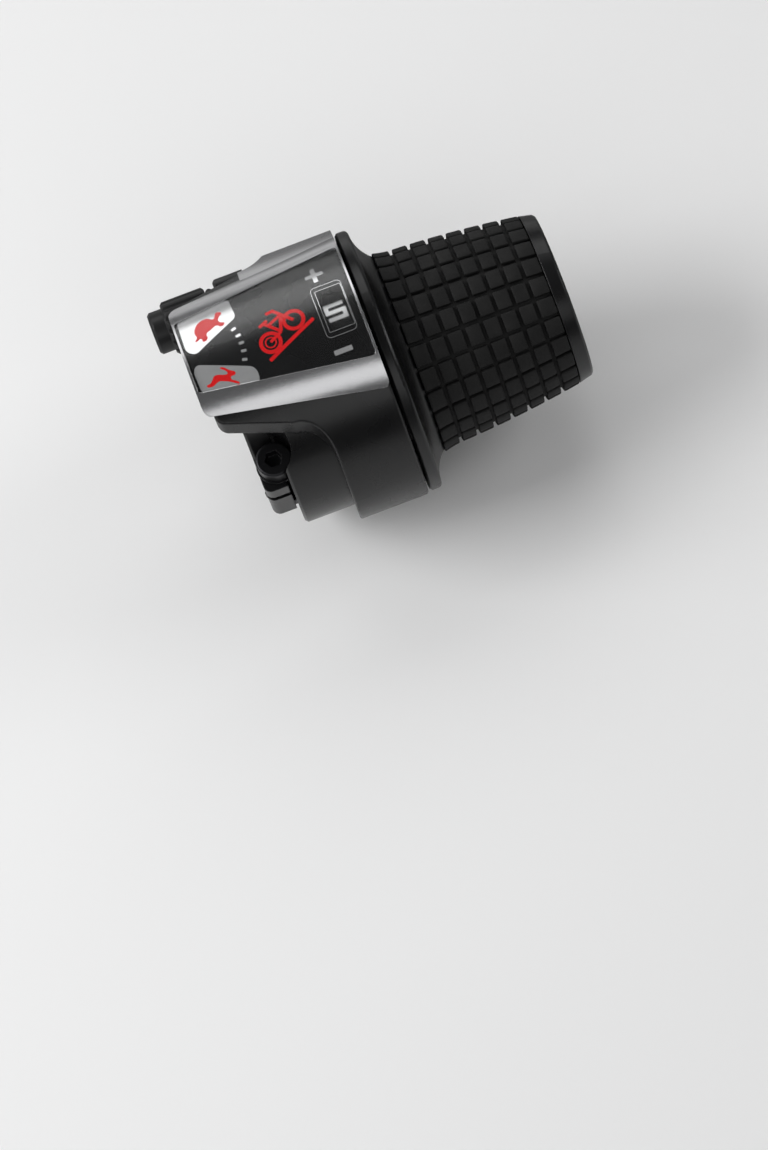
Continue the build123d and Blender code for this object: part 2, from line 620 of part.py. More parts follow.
# Screws of the shell and the cover, each a head and a shank
with BuildPart() as shell_screws:
    for angle in SHELL_SCREW_ANGLES:
        with BuildSketch(radial_plane(SHELL_SCREW_X, SHELL_SCREW_SEAT_R, angle)):
            Circle(SHELL_SCREW_HEAD_R)
    extrude(amount=SHELL_SCREW_HEAD_H)
    for angle in SHELL_SCREW_ANGLES:
        with BuildSketch(radial_plane(SHELL_SCREW_X, SHELL_SCREW_SEAT_R, angle)):
            Circle(SHELL_SCREW_R)
    extrude(amount=STEP_R - SHELL_SCREW_BITE - SHELL_SCREW_SEAT_R)
    for angle in SHELL_SCREW_ANGLES:
        with BuildSketch(radial_plane(SHELL_SCREW_X, SHELL_SCREW_SEAT_R + SHELL_SCREW_HEAD_H, angle)):
            RegularPolygon(SHELL_SCREW_R / 2, 6)
    extrude(amount=-SHELL_SCREW_HEAD_H / 2, mode=Mode.SUBTRACT)

with BuildPart() as cover_screws:
    with BuildSketch(Plane.XY.offset(COVER_SCREW_SEAT_Z)):
        with Locations(*COVER_SCREW_PLACES):
            Circle(COVER_SCREW_HEAD_R)
    extrude(amount=-COVER_SCREW_HEAD_H)
    with BuildSketch(Plane.XY.offset(COVER_SCREW_SEAT_Z)):
        with Locations(*COVER_SCREW_PLACES):
            Circle(COVER_SCREW_R)
    extrude(amount=COVER_SCREW_TOP_Z - FIT - COVER_SCREW_SEAT_Z)

# Cable guide: a bent tube from the boss to the drum's groove
with BuildPart() as cable_guide:
    with BuildLine(Plane((GUIDE_START, CABLE_Y, CABLE_Z), x_dir=(1, 0, 0),
                         z_dir=(0, -LEAD_Z, LEAD_Y))) as route:
        Line((0, 0), (GUIDE_SOCKET, 0))
        CenterArc((GUIDE_SOCKET, GUIDE_BEND), GUIDE_BEND, -90, 90)
    with BuildSketch(across_cable(GUIDE_START)):
        Circle(GUIDE_R)
        Circle(CABLE_HOLE_R, mode=Mode.SUBTRACT)
    sweep(path=route.wires()[0])

# Adjuster barrel, fluted for the fingers, and its friction ring
with BuildPart() as adjuster_barrel:
    turned_on_cable([
        (ADJUSTER_TIP, CABLE_HOLE_R), (ADJUSTER_TIP, THREAD_R), (ADJUSTER_NECK_LEFT, THREAD_R),
        (ADJUSTER_NECK_LEFT, ADJUSTER_HEAD_R - ADJUSTER_EDGE),
        (ADJUSTER_NECK_LEFT - ADJUSTER_EDGE, ADJUSTER_HEAD_R),
        (ADJUSTER_HEAD_LEFT + ADJUSTER_EDGE, ADJUSTER_HEAD_R),
        (ADJUSTER_HEAD_LEFT, ADJUSTER_HEAD_R - ADJUSTER_EDGE),
        (ADJUSTER_HEAD_LEFT, ADJUSTER_NOSE_R), (ADJUSTER_LEFT + ADJUSTER_EDGE, ADJUSTER_NOSE_R),
        (ADJUSTER_LEFT, ADJUSTER_NOSE_R - ADJUSTER_EDGE), (ADJUSTER_LEFT, HOUSING_SOCKET_R),
        (ADJUSTER_LEFT + HOUSING_SOCKET_L, HOUSING_SOCKET_R),
        (ADJUSTER_LEFT + HOUSING_SOCKET_L, CABLE_HOLE_R),
    ])
    with BuildSketch(across_cable(ADJUSTER_HEAD_LEFT)):
        with PolarLocations(ADJUSTER_HEAD_R + FLUTE_R / 2, ADJUSTER_FLUTES):
            Circle(FLUTE_R)
    extrude(amount=ADJUSTER_HEAD_L, mode=Mode.SUBTRACT)

with BuildPart() as adjuster_ring:
    ring_plane = Plane((0, CABLE_Y, CABLE_Z), x_dir=(1, 0, 0), z_dir=(0, -1, 0))
    with BuildSketch(ring_plane):
        with Locations((ADJUSTER_NECK_LEFT + FRICTION_RING_R + FIT, THREAD_R + FRICTION_RING_R + FIT)):
            Circle(FRICTION_RING_R)
    revolve(axis=CABLE_AXIS)

# Thrust washer between the end wall and the turning spigot
with BuildPart() as thrust_washer:
    turned(ring_outline(WALL_RIGHT, WALL_RIGHT + THRUST_T, SLEEVE_R + FIT, CLIP_R))

# Detent spring: a leaf on the rim with one bump that drops into the notches
with BuildPart() as detent_spring:
    with BuildSketch(across_bar(SPRING_X - SPRING_W / 2)):
        with BuildLine():
            Polyline(
                around_bar(SPRING_FOOT_R, 180 - SPRING_FOOT_ANGLE),
                around_bar(SPRING_FOOT_R, SPRING_SCREW_ANGLE),
                around_bar(SPRING_FOOT_R, 180 - SPRING_FOOT_ANGLE + SPRING_FOOT_SPAN),
                around_bar(SPRING_ARM_R, 180 - SPRING_ARM_ANGLE),
                around_bar(SPRING_ARM_R, 180 - SPRING_BUMP_ANGLE),
                around_bar(SPRING_BUMP_R, 180),
                around_bar(SPRING_ARM_R, 180 + SPRING_BUMP_ANGLE),
                around_bar(SPRING_ARM_R, 180 + SPRING_TAIL_ANGLE),
            )
        trace(line_width=SPRING_T)
    extrude(amount=SPRING_W)
    with BuildSketch(radial_plane(SPRING_X, RIM_IN_R, SPRING_SCREW_ANGLE)):
        Circle(SCREW_R + FIT)
    extrude(amount=-SCREW_BITE, mode=Mode.SUBTRACT)

with BuildPart() as spring_screw:
    with BuildSketch(radial_plane(SPRING_X, SPRING_SCREW_SEAT_R, SPRING_SCREW_ANGLE)):
        Circle(SCREW_HEAD_R)
    extrude(amount=-SCREW_HEAD_H)
    with BuildSketch(radial_plane(SPRING_X, SPRING_SCREW_SEAT_R, SPRING_SCREW_ANGLE)):
        Circle(SCREW_R)
    extrude(amount=RIM_IN_R + SCREW_BITE - FIT - SPRING_SCREW_SEAT_R)

# Grip sleeve: keyed spigot, wide flange with a hollow neck, rubber seat and end collar
with BuildPart() as grip_sleeve:
    with BuildSketch(Plane.XZ):
        with BuildLine():
            Polyline(
                (FLANGE_T - FLANGE_EDGE, FLANGE_R), (FLANGE_EDGE / 2, FLANGE_R),
                (0, FLANGE_R - FLANGE_EDGE / 2),
                (0, FLANGE_R - FLANGE_POCKET_WALL), (FLANGE_POCKET_DEPTH, FLANGE_R - FLANGE_POCKET_WALL),
                (FLANGE_POCKET_DEPTH, FLANGE_POCKET_IN), (0, FLANGE_POCKET_IN),
                (0, SPIGOT_R), (SPIGOT_LEFT, SPIGOT_R), (SPIGOT_LEFT, GRIP_BORE_R),
                (COLLAR_RIGHT, GRIP_BORE_R), (COLLAR_RIGHT, COLLAR_END_R - COLLAR_EDGE),
                (COLLAR_RIGHT - COLLAR_EDGE, COLLAR_END_R), (COLLAR_LEFT, COLLAR_R),
                (COLLAR_LEFT, RUBBER_SEAT_RIGHT), (RUBBER_LEFT, RUBBER_SEAT_LEFT),
                (RUBBER_LEFT, NECK_R),
            )
            ThreePointArc((RUBBER_LEFT, NECK_R), (NECK_MIDDLE_X, NECK_MIDDLE_R),
                          (FLANGE_T, FLANGE_R - FLANGE_EDGE))
            ThreePointArc((FLANGE_T, FLANGE_R - FLANGE_EDGE),
                          (FLANGE_T - FLANGE_EDGE * (1 - math.sqrt(0.5)),
                           FLANGE_R - FLANGE_EDGE * (1 - math.sqrt(0.5))),
                          (FLANGE_T - FLANGE_EDGE, FLANGE_R))
        make_face()
    revolve(axis=Axis.X)
    turned(ring_outline(CLIP_LEFT, DRUM_LEFT, SPIGOT_R - CLIP_GROOVE, SPIGOT_R + CLIP_GROOVE),
           mode=Mode.SUBTRACT)
    extrude(key_sketch(DRUM_LEFT, 0), amount=NUMBER_LEFT + NUMBER_WEB_T - DRUM_LEFT)
    turned(ring_outline(SPIGOT_LEFT, 0, 0, GRIP_BORE_R), mode=Mode.SUBTRACT)

# Grip rubber: a tube with square blocks left standing between two sets of grooves
with BuildPart() as grip_rubber:
    with BuildSketch(Plane.XZ):
        with BuildLine():
            Polyline((RUBBER_RIGHT, RUBBER_R_RIGHT), (RUBBER_RIGHT, RUBBER_SEAT_RIGHT + FIT),
                     (RUBBER_LEFT + FIT, RUBBER_SEAT_LEFT + FIT), (RUBBER_LEFT + FIT, RUBBER_R_LEFT),
                     (RUBBER_FLARE_X, RUBBER_R_FLARE))
            ThreePointArc((RUBBER_FLARE_X, RUBBER_R_FLARE),
                          ((RUBBER_FLARE_X + RUBBER_RIGHT) / 2,
                           (RUBBER_R_FLARE + RUBBER_R_RIGHT) / 2 + RUBBER_SAG),
                          (RUBBER_RIGHT, RUBBER_R_RIGHT))
        make_face()
    revolve(axis=Axis.X)
    with BuildSketch(Plane.XZ) as ring_grooves:
        for column in range(1, RUBBER_COLUMNS):
            x = RUBBER_LEFT + column * COLUMN_PITCH
            floor = rubber_radius(x) - GROOVE_DEPTH
            with Locations((x, floor + GROOVE_DEPTH)):
                Rectangle(GROOVE_W, 2 * GROOVE_DEPTH)
    revolve(axis=Axis.X, mode=Mode.SUBTRACT)
    for row in range(RUBBER_ROWS):
        with BuildSketch(half_plane(row * 360 / RUBBER_ROWS)):
            with BuildLine():
                Polyline(
                    (RUBBER_LEFT, RUBBER_R_LEFT - GROOVE_DEPTH),
                    (RUBBER_FLARE_X, RUBBER_R_FLARE - GROOVE_DEPTH),
                    (RUBBER_RIGHT, RUBBER_R_RIGHT - GROOVE_DEPTH),
                    (RUBBER_RIGHT, RUBBER_R_LEFT + GROOVE_DEPTH),
                    (RUBBER_LEFT, RUBBER_R_LEFT + GROOVE_DEPTH), close=True,
                )
            make_face()
    extrude(amount=GROOVE_W / 2, both=True, mode=Mode.SUBTRACT)

# Retaining clip: an open ring in the spigot's groove
with BuildPart() as retaining_clip:
    turned(ring_outline(CLIP_LEFT, DRUM_LEFT, SPIGOT_R - CLIP_GROOVE + FIT, CLIP_R))
    with BuildSketch(across_bar(CLIP_LEFT)):
        with BuildLine():
            Polyline(
                (0, 0), around_bar(2 * CLIP_R, 180 - CLIP_OPENING / 2),
                around_bar(2 * CLIP_R, 180 + CLIP_OPENING / 2), close=True,
            )
        make_face()
    extrude(amount=CLIP_T, mode=Mode.SUBTRACT)

# Winding drum with the cable's groove and the pocket for its end
with BuildPart() as winding_drum:
    turned([
        (DRUM_LEFT, SPIGOT_R + FIT), (INDEX_LEFT, SPIGOT_R + FIT), (INDEX_LEFT, SPOOL_R),
        (SPOOL_LEFT, SPOOL_R), (SPOOL_LEFT, DRUM_HUB_R), (DRUM_LEFT, DRUM_HUB_R),
    ])
    with BuildSketch(Plane.XZ):
        with Locations((GROOVE_X, CABLE_PATH_R)):
            Circle(CABLE_R)
        with Locations((GROOVE_X, (CABLE_PATH_R + SPOOL_R) / 2)):
            Rectangle(2 * CABLE_R, SPOOL_R - CABLE_PATH_R)
    revolve(axis=Axis.X, mode=Mode.SUBTRACT)
    with BuildSketch(radial_plane(GROOVE_X, SPIGOT_R + FIT + NIPPLE_FLOOR, NIPPLE_ANGLE)):
        Circle(NIPPLE_R)
    extrude(amount=SPOOL_R, mode=Mode.SUBTRACT)
    extrude(key_sketch(DRUM_LEFT, FIT), amount=INDEX_LEFT - DRUM_LEFT, mode=Mode.SUBTRACT)

# Index ring: one notch for each gear, the first of them under the spring at rest
with BuildPart() as index_ring:
    turned(ring_outline(INDEX_LEFT, INDEX_RIGHT, SPIGOT_R + FIT, INDEX_R))
    with BuildSketch(across_bar(INDEX_LEFT)):
        with Locations(*[around_bar(INDEX_R, 180 + gear * GEAR_STEP) for gear in range(GEARS)]):
            Circle(NOTCH_R)
    extrude(amount=INDEX_T, mode=Mode.SUBTRACT)
    extrude(key_sketch(INDEX_LEFT, FIT), amount=INDEX_T, mode=Mode.SUBTRACT)

# Number ring: the printed rim under the window, on a web with round holes
with BuildPart() as number_ring:
    turned([
        (NUMBER_LEFT, SPIGOT_R + FIT), (NUMBER_LEFT + NUMBER_WEB_T, SPIGOT_R + FIT),
        (NUMBER_LEFT + NUMBER_WEB_T, NUMBER_IN_R), (NUMBER_RIGHT, NUMBER_IN_R),
        (NUMBER_RIGHT, NUMBER_R), (NUMBER_LEFT, NUMBER_R),
    ])
    with BuildSketch(across_bar(NUMBER_LEFT)):
        with PolarLocations(WEB_HOLE_RING_R, WEB_HOLES):
            Circle(WEB_HOLE_R)
    extrude(amount=NUMBER_WEB_T, mode=Mode.SUBTRACT)
    extrude(key_sketch(NUMBER_LEFT, FIT), amount=NUMBER_WEB_T, mode=Mode.SUBTRACT)


PIECES = {
    "bracket": bracket,
    "outer_shell": outer_shell,
    "cover_frame": cover_frame,
    "display_panel": display_panel,
    "display_lens": display_lens,
    "clamp_bolt": clamp_bolt,
    "clamp_washer": clamp_washer,
    "clamp_nut": clamp_nut,
    "shell_screws": shell_screws,
    "cover_screws": cover_screws,
    "cable_guide": cable_guide,
    "thrust_washer": thrust_washer,
    "detent_spring": detent_spring,
    "spring_screw": spring_screw,
    "grip_sleeve": grip_sleeve,
    "grip_rubber": grip_rubber,
    "retaining_clip": retaining_clip,
    "winding_drum": winding_drum,
    "index_ring": index_ring,
    "number_ring": number_ring,
    "adjuster_barrel": adjuster_barrel,
    "adjuster_ring": adjuster_ring,
}
for name, piece in PIECES.items():
    piece.part.label = name
    export_step(piece.part, f"parts/{name}.step")
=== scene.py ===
import bpy
import math
from mathutils import Matrix, Vector


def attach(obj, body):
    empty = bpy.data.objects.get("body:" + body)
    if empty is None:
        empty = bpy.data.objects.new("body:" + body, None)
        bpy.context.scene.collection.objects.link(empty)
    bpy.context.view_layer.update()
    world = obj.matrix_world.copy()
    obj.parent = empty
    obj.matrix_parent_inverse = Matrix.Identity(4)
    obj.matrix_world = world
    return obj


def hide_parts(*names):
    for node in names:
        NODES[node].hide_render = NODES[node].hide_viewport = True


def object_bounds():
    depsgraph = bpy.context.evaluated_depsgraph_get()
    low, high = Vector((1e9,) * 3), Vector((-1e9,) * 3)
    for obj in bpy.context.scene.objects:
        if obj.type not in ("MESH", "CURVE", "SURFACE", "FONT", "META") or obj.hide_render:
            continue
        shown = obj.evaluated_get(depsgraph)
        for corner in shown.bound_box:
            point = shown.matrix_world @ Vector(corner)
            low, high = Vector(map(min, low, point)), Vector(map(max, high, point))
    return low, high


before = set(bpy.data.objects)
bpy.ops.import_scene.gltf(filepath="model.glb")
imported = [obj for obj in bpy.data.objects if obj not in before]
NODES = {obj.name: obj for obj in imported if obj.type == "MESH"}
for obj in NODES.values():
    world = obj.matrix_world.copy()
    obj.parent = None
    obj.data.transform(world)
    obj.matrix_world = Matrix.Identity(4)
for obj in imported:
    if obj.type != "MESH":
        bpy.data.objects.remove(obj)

CAD_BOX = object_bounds()
MM = 0.001
BAR_AXIS = (1, 0, 0)
ORIGIN = (0, 0, 0)

# Photograph: the frame, where the parting line crosses the bar axis, and the scale there
IMAGE_W = 768
IMAGE_H = 1150
PARTING_PX = (382, 363)
PX_PER_MM = 5.17
BAR_RISE = 20.7

# Camera: degrees round the part, metres from it
CAMERA_AZIMUTH = -2.0
CAMERA_ELEVATION = 59.2
CAMERA_DISTANCE = 0.9
SENSOR_MM = 36.0
CLIP_NEAR = 0.01
CLIP_FAR = 20

# Studio: the dome's glow by height, and each lamp's place and size in metres and its power
SKY_COLOUR = (0.86, 0.87, 0.88, 1)
DOME_LOW = 0.3
DOME_HIGH = 0.9
HORIZON_GLOW = 0.06
ZENITH_GLOW = 0.10
LAMPS = [
    ("key_softbox", (-0.62, 0.10, 0.50), (0.5, 0.5), 4.6),
    ("front_strip", (0.00, 0.486, 0.504), (0.9, 0.375), 1.7),
    ("rider_strip", (-0.12, -0.504, 0.486), (1.4, 0.35), 1.75),
    ("end_softbox", (0.65, 0.00, 0.35), (0.3, 0.3), 1.2),
    ("back_strip", (0.00, 0.80, 0.06), (1.2, 0.10), 0.35),
]

# Floor paper, in metres: its glow far away, and the band behind the part that reflections see darker
FLOOR_SIZE = 6
FLOOR_GAP = 0.0005
PAPER_ROUGH = 0.85
PAPER_CLOUD = 3
PAPER_DETAIL = 2
PAPER_LOW = 0.86
PAPER_HIGH = 0.90
PAPER_NEAR = 0.25
PAPER_FAR = 1.6
PAPER_GLOW = 0.5
SHADE = 0.05
SHADE_NEAR = -0.01
SHADE_FULL = 0.03
SHADE_FADE = 0.13
SHADE_END = 0.24
SHADE_MOST = 0.85

# Places of a mix node's colour sockets
MIX_FIRST = 6
MIX_SECOND = 7
MIX_RESULT = 2

# Moulded finishes: noise scales to the metre, depths and widths in metres
NOISE_MIDDLE = 0.5
ROUGH = 0.4
GRAIN = 5200
GRAIN_DETAIL = 2
CLOUD = 160
CLOUD_DETAIL = 3
MOULD_SPREAD = 0.14
MOULD_DARK = 0.8
MOULD_WEAR = 0.35
MOULD_DUST = 0.004
MOULD_BUMP = 0.5
MOULD_DEPTH = 0.00001
SATIN = {"Specular IOR Level": 0.40}

# Rubbed edges and settled dust: the limits of each mask
EDGE_WIDTH = 0.0003
EDGE_SAMPLES = 4
EDGE_FLAT = 0.985
EDGE_TURNED = 0.9
WEAR_BREAKUP = 900
WEAR_DETAIL = 4
WEAR_LOW = 0.42
WEAR_HIGH = 0.62
WEAR_AMOUNT = 0.5
DUST = (0.30, 0.29, 0.28, 1)
DUST_TILT = 0.1
DUST_FLAT = 1.0
DUST_PATCH = 220
DUST_DETAIL = 5
DUST_LOW = 0.4
DUST_HIGH = 0.75

# Metal, lens and ink finishes
LINES = 4200
LINES_DETAIL = 2
LINES_STRETCH = (0.25, 1, 1)
LINES_SPREAD = 0.05
METAL_EDGE = 0.0002
METAL_BUMP = 0.3
METAL_DEPTH = 0.000004
LENS_COLOUR = (0.97, 0.98, 0.98, 1)
LENS_IOR = 1.4
LENS_GRAIN = 2600
LENS_ROUGH = 0.16
LENS_SPREAD = 0.02
INK_GRAIN = 9000
INK_CLOUD = 500
INK_SPREAD = 0.08
INK_BUMP = 0.2
INK_DEPTH = 0.000001

# Meshes: points closer than this are merged, in metres, and edges under this angle are smooth
MERGE = 0.000002
SMOOTH_ANGLE = 35
TREAD_ANGLE = 30

# Rubber tread, in millimetres, as in the part's source
TREAD_LEFT = 5.45
TREAD_RIGHT = 34.3
TREAD_START = 5.4
TREAD_COLUMNS = 8
TREAD_ROWS = 26
LIP_R = 20.4
LIP_POWER = 1.6
FLARE_X = 9.0
FLARE_R = 19.75
END_R = 17.2
SAG = 0.35
GROOVE_W = 0.75
GROOVE_DEPTH = 1.0
TREAD_BASE = 0.95
BLOCK_ROOT = 0.25
BLOCK_EDGE = 0.24
BLOCK_EDGE_STEPS = 2
BLOCK_SHARP = 40
BLOCK_CUTS = 2
LIP_CUTS = 4
BLOCK_STEPS = 3
TUBE_CUTS = 16
TUBE_STEPS = 104

# Print, in millimetres seen from above: x along the bar, y to the front
INK = 0.02
STROKE_STEP = 0.004
SLICE = 0.8
PANEL_R = 27.275
CORNER_STEPS = 4
STROKE_CORNER_STEPS = 3
RING_STEPS = 56
FIGURE_STEPS = 5

# Speed tiles with their figures, and the fan of ticks between them
TILE_CORNER = 0.8
SLOW_TILE = [(-34.0, 8.4), (-34.15, 0.9), (-32.6, -0.4), (-23.1, 4.5), (-23.4, 9.6)]
FAST_TILE = [(-34.15, -3.6), (-34.0, -8.0), (-23.1, -9.8), (-22.7, -8.0), (-23.2, -6.6), (-33.3, -2.4)]
TORTOISE = [
    (-3.6, -0.7), (-2.9, -0.3), (-2.6, 0.7), (-1.6, 1.7), (-0.2, 2.1), (1.1, 1.6), (1.8, 0.6),
    (2.3, 0.8), (2.9, 1.3), (3.6, 1.0), (3.6, 0.4), (2.9, 0.2), (2.2, -0.4), (2.2, -1.0),
    (2.6, -1.7), (1.7, -1.8), (1.3, -1.0), (0.0, -0.9), (-1.2, -1.0), (-1.6, -1.8), (-2.6, -1.8),
    (-2.5, -1.0),
]
TORTOISE_PLACE = (-28.7, 4.6)
TORTOISE_TURN = 25.0
TORTOISE_SIZE = 1.05
HARE = [
    (-3.9, -1.2), (-3.0, -0.7), (-2.4, 0.1), (-2.0, 0.8), (-1.0, 1.1), (0.4, 0.9), (1.3, 1.1),
    (0.8, 1.9), (-0.2, 2.7), (0.7, 2.6), (1.7, 1.9), (2.4, 1.6), (3.2, 1.0), (2.9, 0.5), (2.1, 0.3),
    (2.0, -0.3), (3.1, -0.9), (3.8, -1.5), (2.9, -1.4), (1.6, -0.9), (0.2, -0.6), (-0.9, -0.5),
    (-1.6, -0.9), (-2.7, -1.5),
]
HARE_PLACE = (-29.45, -6.8)
HARE_TURN = -12.0
HARE_SIZE = 0.8
TICKS = [(-24.3, 2.0), (-23.9, 0.3), (-23.8, -1.4), (-23.9, -3.1), (-24.3, -4.8)]
TICK_FAN = (-36.0, -1.4)
TICK_LENGTH = 1.0
TICK_WIDTH = 0.55

# Slope sign: rings with centre, radius and stroke, and bars along and above the slope with their width
SLOPE_START = (-19.9, -6.8)
SLOPE_TURN = 25.2
BAR_ROUNDING = 0.25
SIGN_RINGS = [((-18.6, -3.5), 2.25, 0.74), ((-18.6, -3.5), 1.15, 0.28), ((-13.1, -0.7), 2.25, 0.74)]
SIGN_BARS = [
    ((0, 0), (11.5, 0), 0.72), ((2.6, 2.5), (5.5, 2.6), 0.6), ((5.5, 2.6), (4.3, 6.2), 0.65),
    ((3.2, 6.3), (5.2, 6.3), 0.65), ((4.6, 5.3), (7.7, 5.3), 0.6), ((5.5, 2.6), (7.7, 5.3), 0.6),
    ((8.7, 2.6), (7.3, 7.0), 0.65), ((5.9, 7.5), (7.6, 7.0), 0.65),
]

# Marks and window frame, each box by its left, right, rider's and front side
PLUS = (-6.6, 7.3)
PLUS_CORNER = 0.1
MINUS = (-6.4, -9.7)
MINUS_CORNER = 0.12
MARK = 3.6
MARK_STROKE = 0.9
WINDOW_OUTER = (-8.4, -2.3, -6.85, 4.35)
WINDOW_OUTER_CORNER = 0.9
WINDOW_INNER = (-7.65, -2.5, -5.85, 3.4)
WINDOW_INNER_CORNER = 0.3
LINE = 0.085

# Gear numbers: runs of each one's strokes, by shares of its width and height
GEARS = (5, 4, 3, 2, 1)
GEAR_STEP = 18.0
NUMBER_R = 24.3
DIGIT_X = -5.1
DIGIT_Y = -0.4
DIGIT_W = 3.3
DIGIT_H = 3.0
DIGIT_STROKE = 0.82
DIGIT_CORNER = 0.16
DIGITS = {
    1: [[(0.28, 1), (0.55, 1), (0.55, 0)]],
    2: [[(0, 1), (1, 1), (1, 0.5), (0, 0.5), (0, 0), (1, 0)]],
    3: [[(0, 1), (1, 1), (1, 0), (0, 0)], [(0.15, 0.5), (0.9, 0.5)]],
    4: [[(0, 1.1), (0, 0.35), (1.1, 0.35)], [(0.75, 1.1), (0.75, -0.1)]],
    5: [[(1.05, 1), (0, 1), (0, 0.5), (1, 0.5), (1, 0), (-0.05, 0)]],
}


def place_camera():
    """Stand the camera where the photograph was taken, with the bar rising to the right."""
    azimuth = math.radians(CAMERA_AZIMUTH)
    elevation = math.radians(CAMERA_ELEVATION)
    back = Vector((math.sin(azimuth) * math.cos(elevation),
                   -math.cos(azimuth) * math.cos(elevation), math.sin(elevation)))
    level_right = Vector((0, 0, 1)).cross(back).normalized()
    level_up = back.cross(level_right)
    bar = Vector(BAR_AXIS)
    slope = math.atan2(bar.dot(level_up), bar.dot(level_right))
    roll = math.radians(BAR_RISE) - slope
    right = level_right * math.cos(roll) - level_up * math.sin(roll)
    up = level_right * math.sin(roll) + level_up * math.cos(roll)
    eye = back * CAMERA_DISTANCE
    across = (IMAGE_W / 2 - PARTING_PX[0]) / PX_PER_MM * MM
    down = (IMAGE_H / 2 - PARTING_PX[1]) / PX_PER_MM * MM
    aim = right * across - up * down
    look = (aim - eye).normalized()
    side = look.cross(up).normalized()
    turn = Matrix((side, side.cross(look), -look)).transposed()
    bpy.ops.object.camera_add()
    camera = bpy.context.object
    camera.matrix_world = Matrix.Translation(eye) @ turn.to_4x4()
    camera.data.sensor_width = SENSOR_MM
    camera.data.lens = SENSOR_MM * (aim - eye).length / (IMAGE_H / PX_PER_MM * MM)
    camera.data.clip_start = CLIP_NEAR
    camera.data.clip_end = CLIP_FAR
    bpy.context.scene.camera = camera


def softbox(name, place, size, energy):
    """Hang a rectangular soft lamp that looks at the part."""
    bpy.ops.object.light_add(type="AREA", location=place)
    lamp = bpy.context.object
    lamp.name = name
    lamp.data.shape = "RECTANGLE"
    lamp.data.size, lamp.data.size_y = size
    lamp.data.energy = energy
    lamp.rotation_euler = (Vector(ORIGIN) - Vector(place)).to_track_quat("-Z", "Y").to_euler()


def build_studio():
    """Light the dome, lay a pale floor and hang the soft lamps."""
    scene = bpy.context.scene
    scene.view_settings.view_transform = "Standard"
    world = bpy.data.worlds.new("studio")
    scene.world = world
    world.use_nodes = True
    tree = world.node_tree
    backdrop = tree.nodes["Background"]
    backdrop.inputs["Color"].default_value = SKY_COLOUR
    sky = add_node(tree, "ShaderNodeTexCoord")
    height = add_node(tree, "ShaderNodeSeparateXYZ")
    tree.links.new(sky.outputs["Generated"], height.inputs["Vector"])
    dome = spread(tree, height.outputs["Z"], DOME_LOW, DOME_HIGH, HORIZON_GLOW, ZENITH_GLOW)
    tree.links.new(dome, backdrop.inputs["Strength"])
    bpy.ops.object.select_all(action="DESELECT")
    bpy.ops.mesh.primitive_plane_add(size=FLOOR_SIZE, location=(0, 0, CAD_BOX[0][2] - FLOOR_GAP))
    floor = bpy.context.object
    floor.name = "floor"
    floor.data.materials.append(floor_paper())
    for name, place, size, energy in LAMPS:
        softbox(name, place, size, energy)


def grey(tone):
    """Return an even grey as a colour."""
    return (tone, tone, tone, 1)


def new_group(name, numbers, outputs):
    """Start a shader node group with named numbers in and named values out."""
    group = bpy.data.node_groups.new(name, "ShaderNodeTree")
    for label, value in numbers:
        socket = group.interface.new_socket(label, in_out="INPUT", socket_type="NodeSocketFloat")
        socket.default_value = value
    for label, kind in outputs:
        group.interface.new_socket(label, in_out="OUTPUT", socket_type=kind)
    return group, group.nodes.new("NodeGroupInput"), group.nodes.new("NodeGroupOutput")


def add_node(tree, kind, settings=None, values=None):
    """Add a node with its settings and the values of its sockets."""
    node = tree.nodes.new(kind)
    for key, value in (settings or {}).items():
        setattr(node, key, value)
    for key, value in (values or {}).items():
        node.inputs[key].default_value = value
    return node


def feed(tree, value, socket):
    """Link a value to a socket, or set it there where it is a plain number or colour."""
    if isinstance(value, bpy.types.NodeSocket):
        tree.links.new(value, socket)
    else:
        socket.default_value = value


def part_noise(tree, scale, detail, stretch=(1, 1, 1)):
    """Add a noise on the part's own coordinates and return its value's socket."""
    place = add_node(tree, "ShaderNodeTexCoord")
    turn = add_node(tree, "ShaderNodeMapping", values={"Scale": stretch})
    noise = add_node(tree, "ShaderNodeTexNoise", values={"Detail": detail})
    feed(tree, scale, noise.inputs["Scale"])
    tree.links.new(place.outputs["Object"], turn.inputs["Vector"])
    tree.links.new(turn.outputs["Vector"], noise.inputs["Vector"])
    return noise.outputs[0]


def spread(tree, value, low, high, to_low, to_high):
    """Map a range of a value onto another, and return the new value's socket."""
    ramp = add_node(tree, "ShaderNodeMapRange", {"clamp": True},
                    {"From Min": low, "From Max": high, "To Min": to_low, "To Max": to_high})
    tree.links.new(value, ramp.inputs["Value"])
    return ramp.outputs["Result"]


def math_node(tree, operation, first, second):
    """Join two sockets or numbers by arithmetic, and return the result's socket."""
    node = add_node(tree, "ShaderNodeMath", {"operation": operation})
    feed(tree, first, node.inputs[0])
    feed(tree, second, node.inputs[1])
    return node.outputs["Value"]


def mix_colours(tree, mask, first, second):
    """Blend two colours, or the sockets that carry them, by a mask."""
    mix = add_node(tree, "ShaderNodeMix", {"data_type": "RGBA"})
    tree.links.new(mask, mix.inputs[0])
    feed(tree, first, mix.inputs[MIX_FIRST])
    feed(tree, second, mix.inputs[MIX_SECOND])
    return mix.outputs[MIX_RESULT]


def send_roughness(group, start, end, noise):
    """Send out the group's roughness, spread by a noise."""
    offset = math_node(group, "SUBTRACT", noise, NOISE_MIDDLE)
    change = math_node(group, "MULTIPLY", offset, start.outputs["Spread"])
    group.links.new(math_node(group, "ADD", start.outputs["Rough"], change), end.inputs["Roughness"])


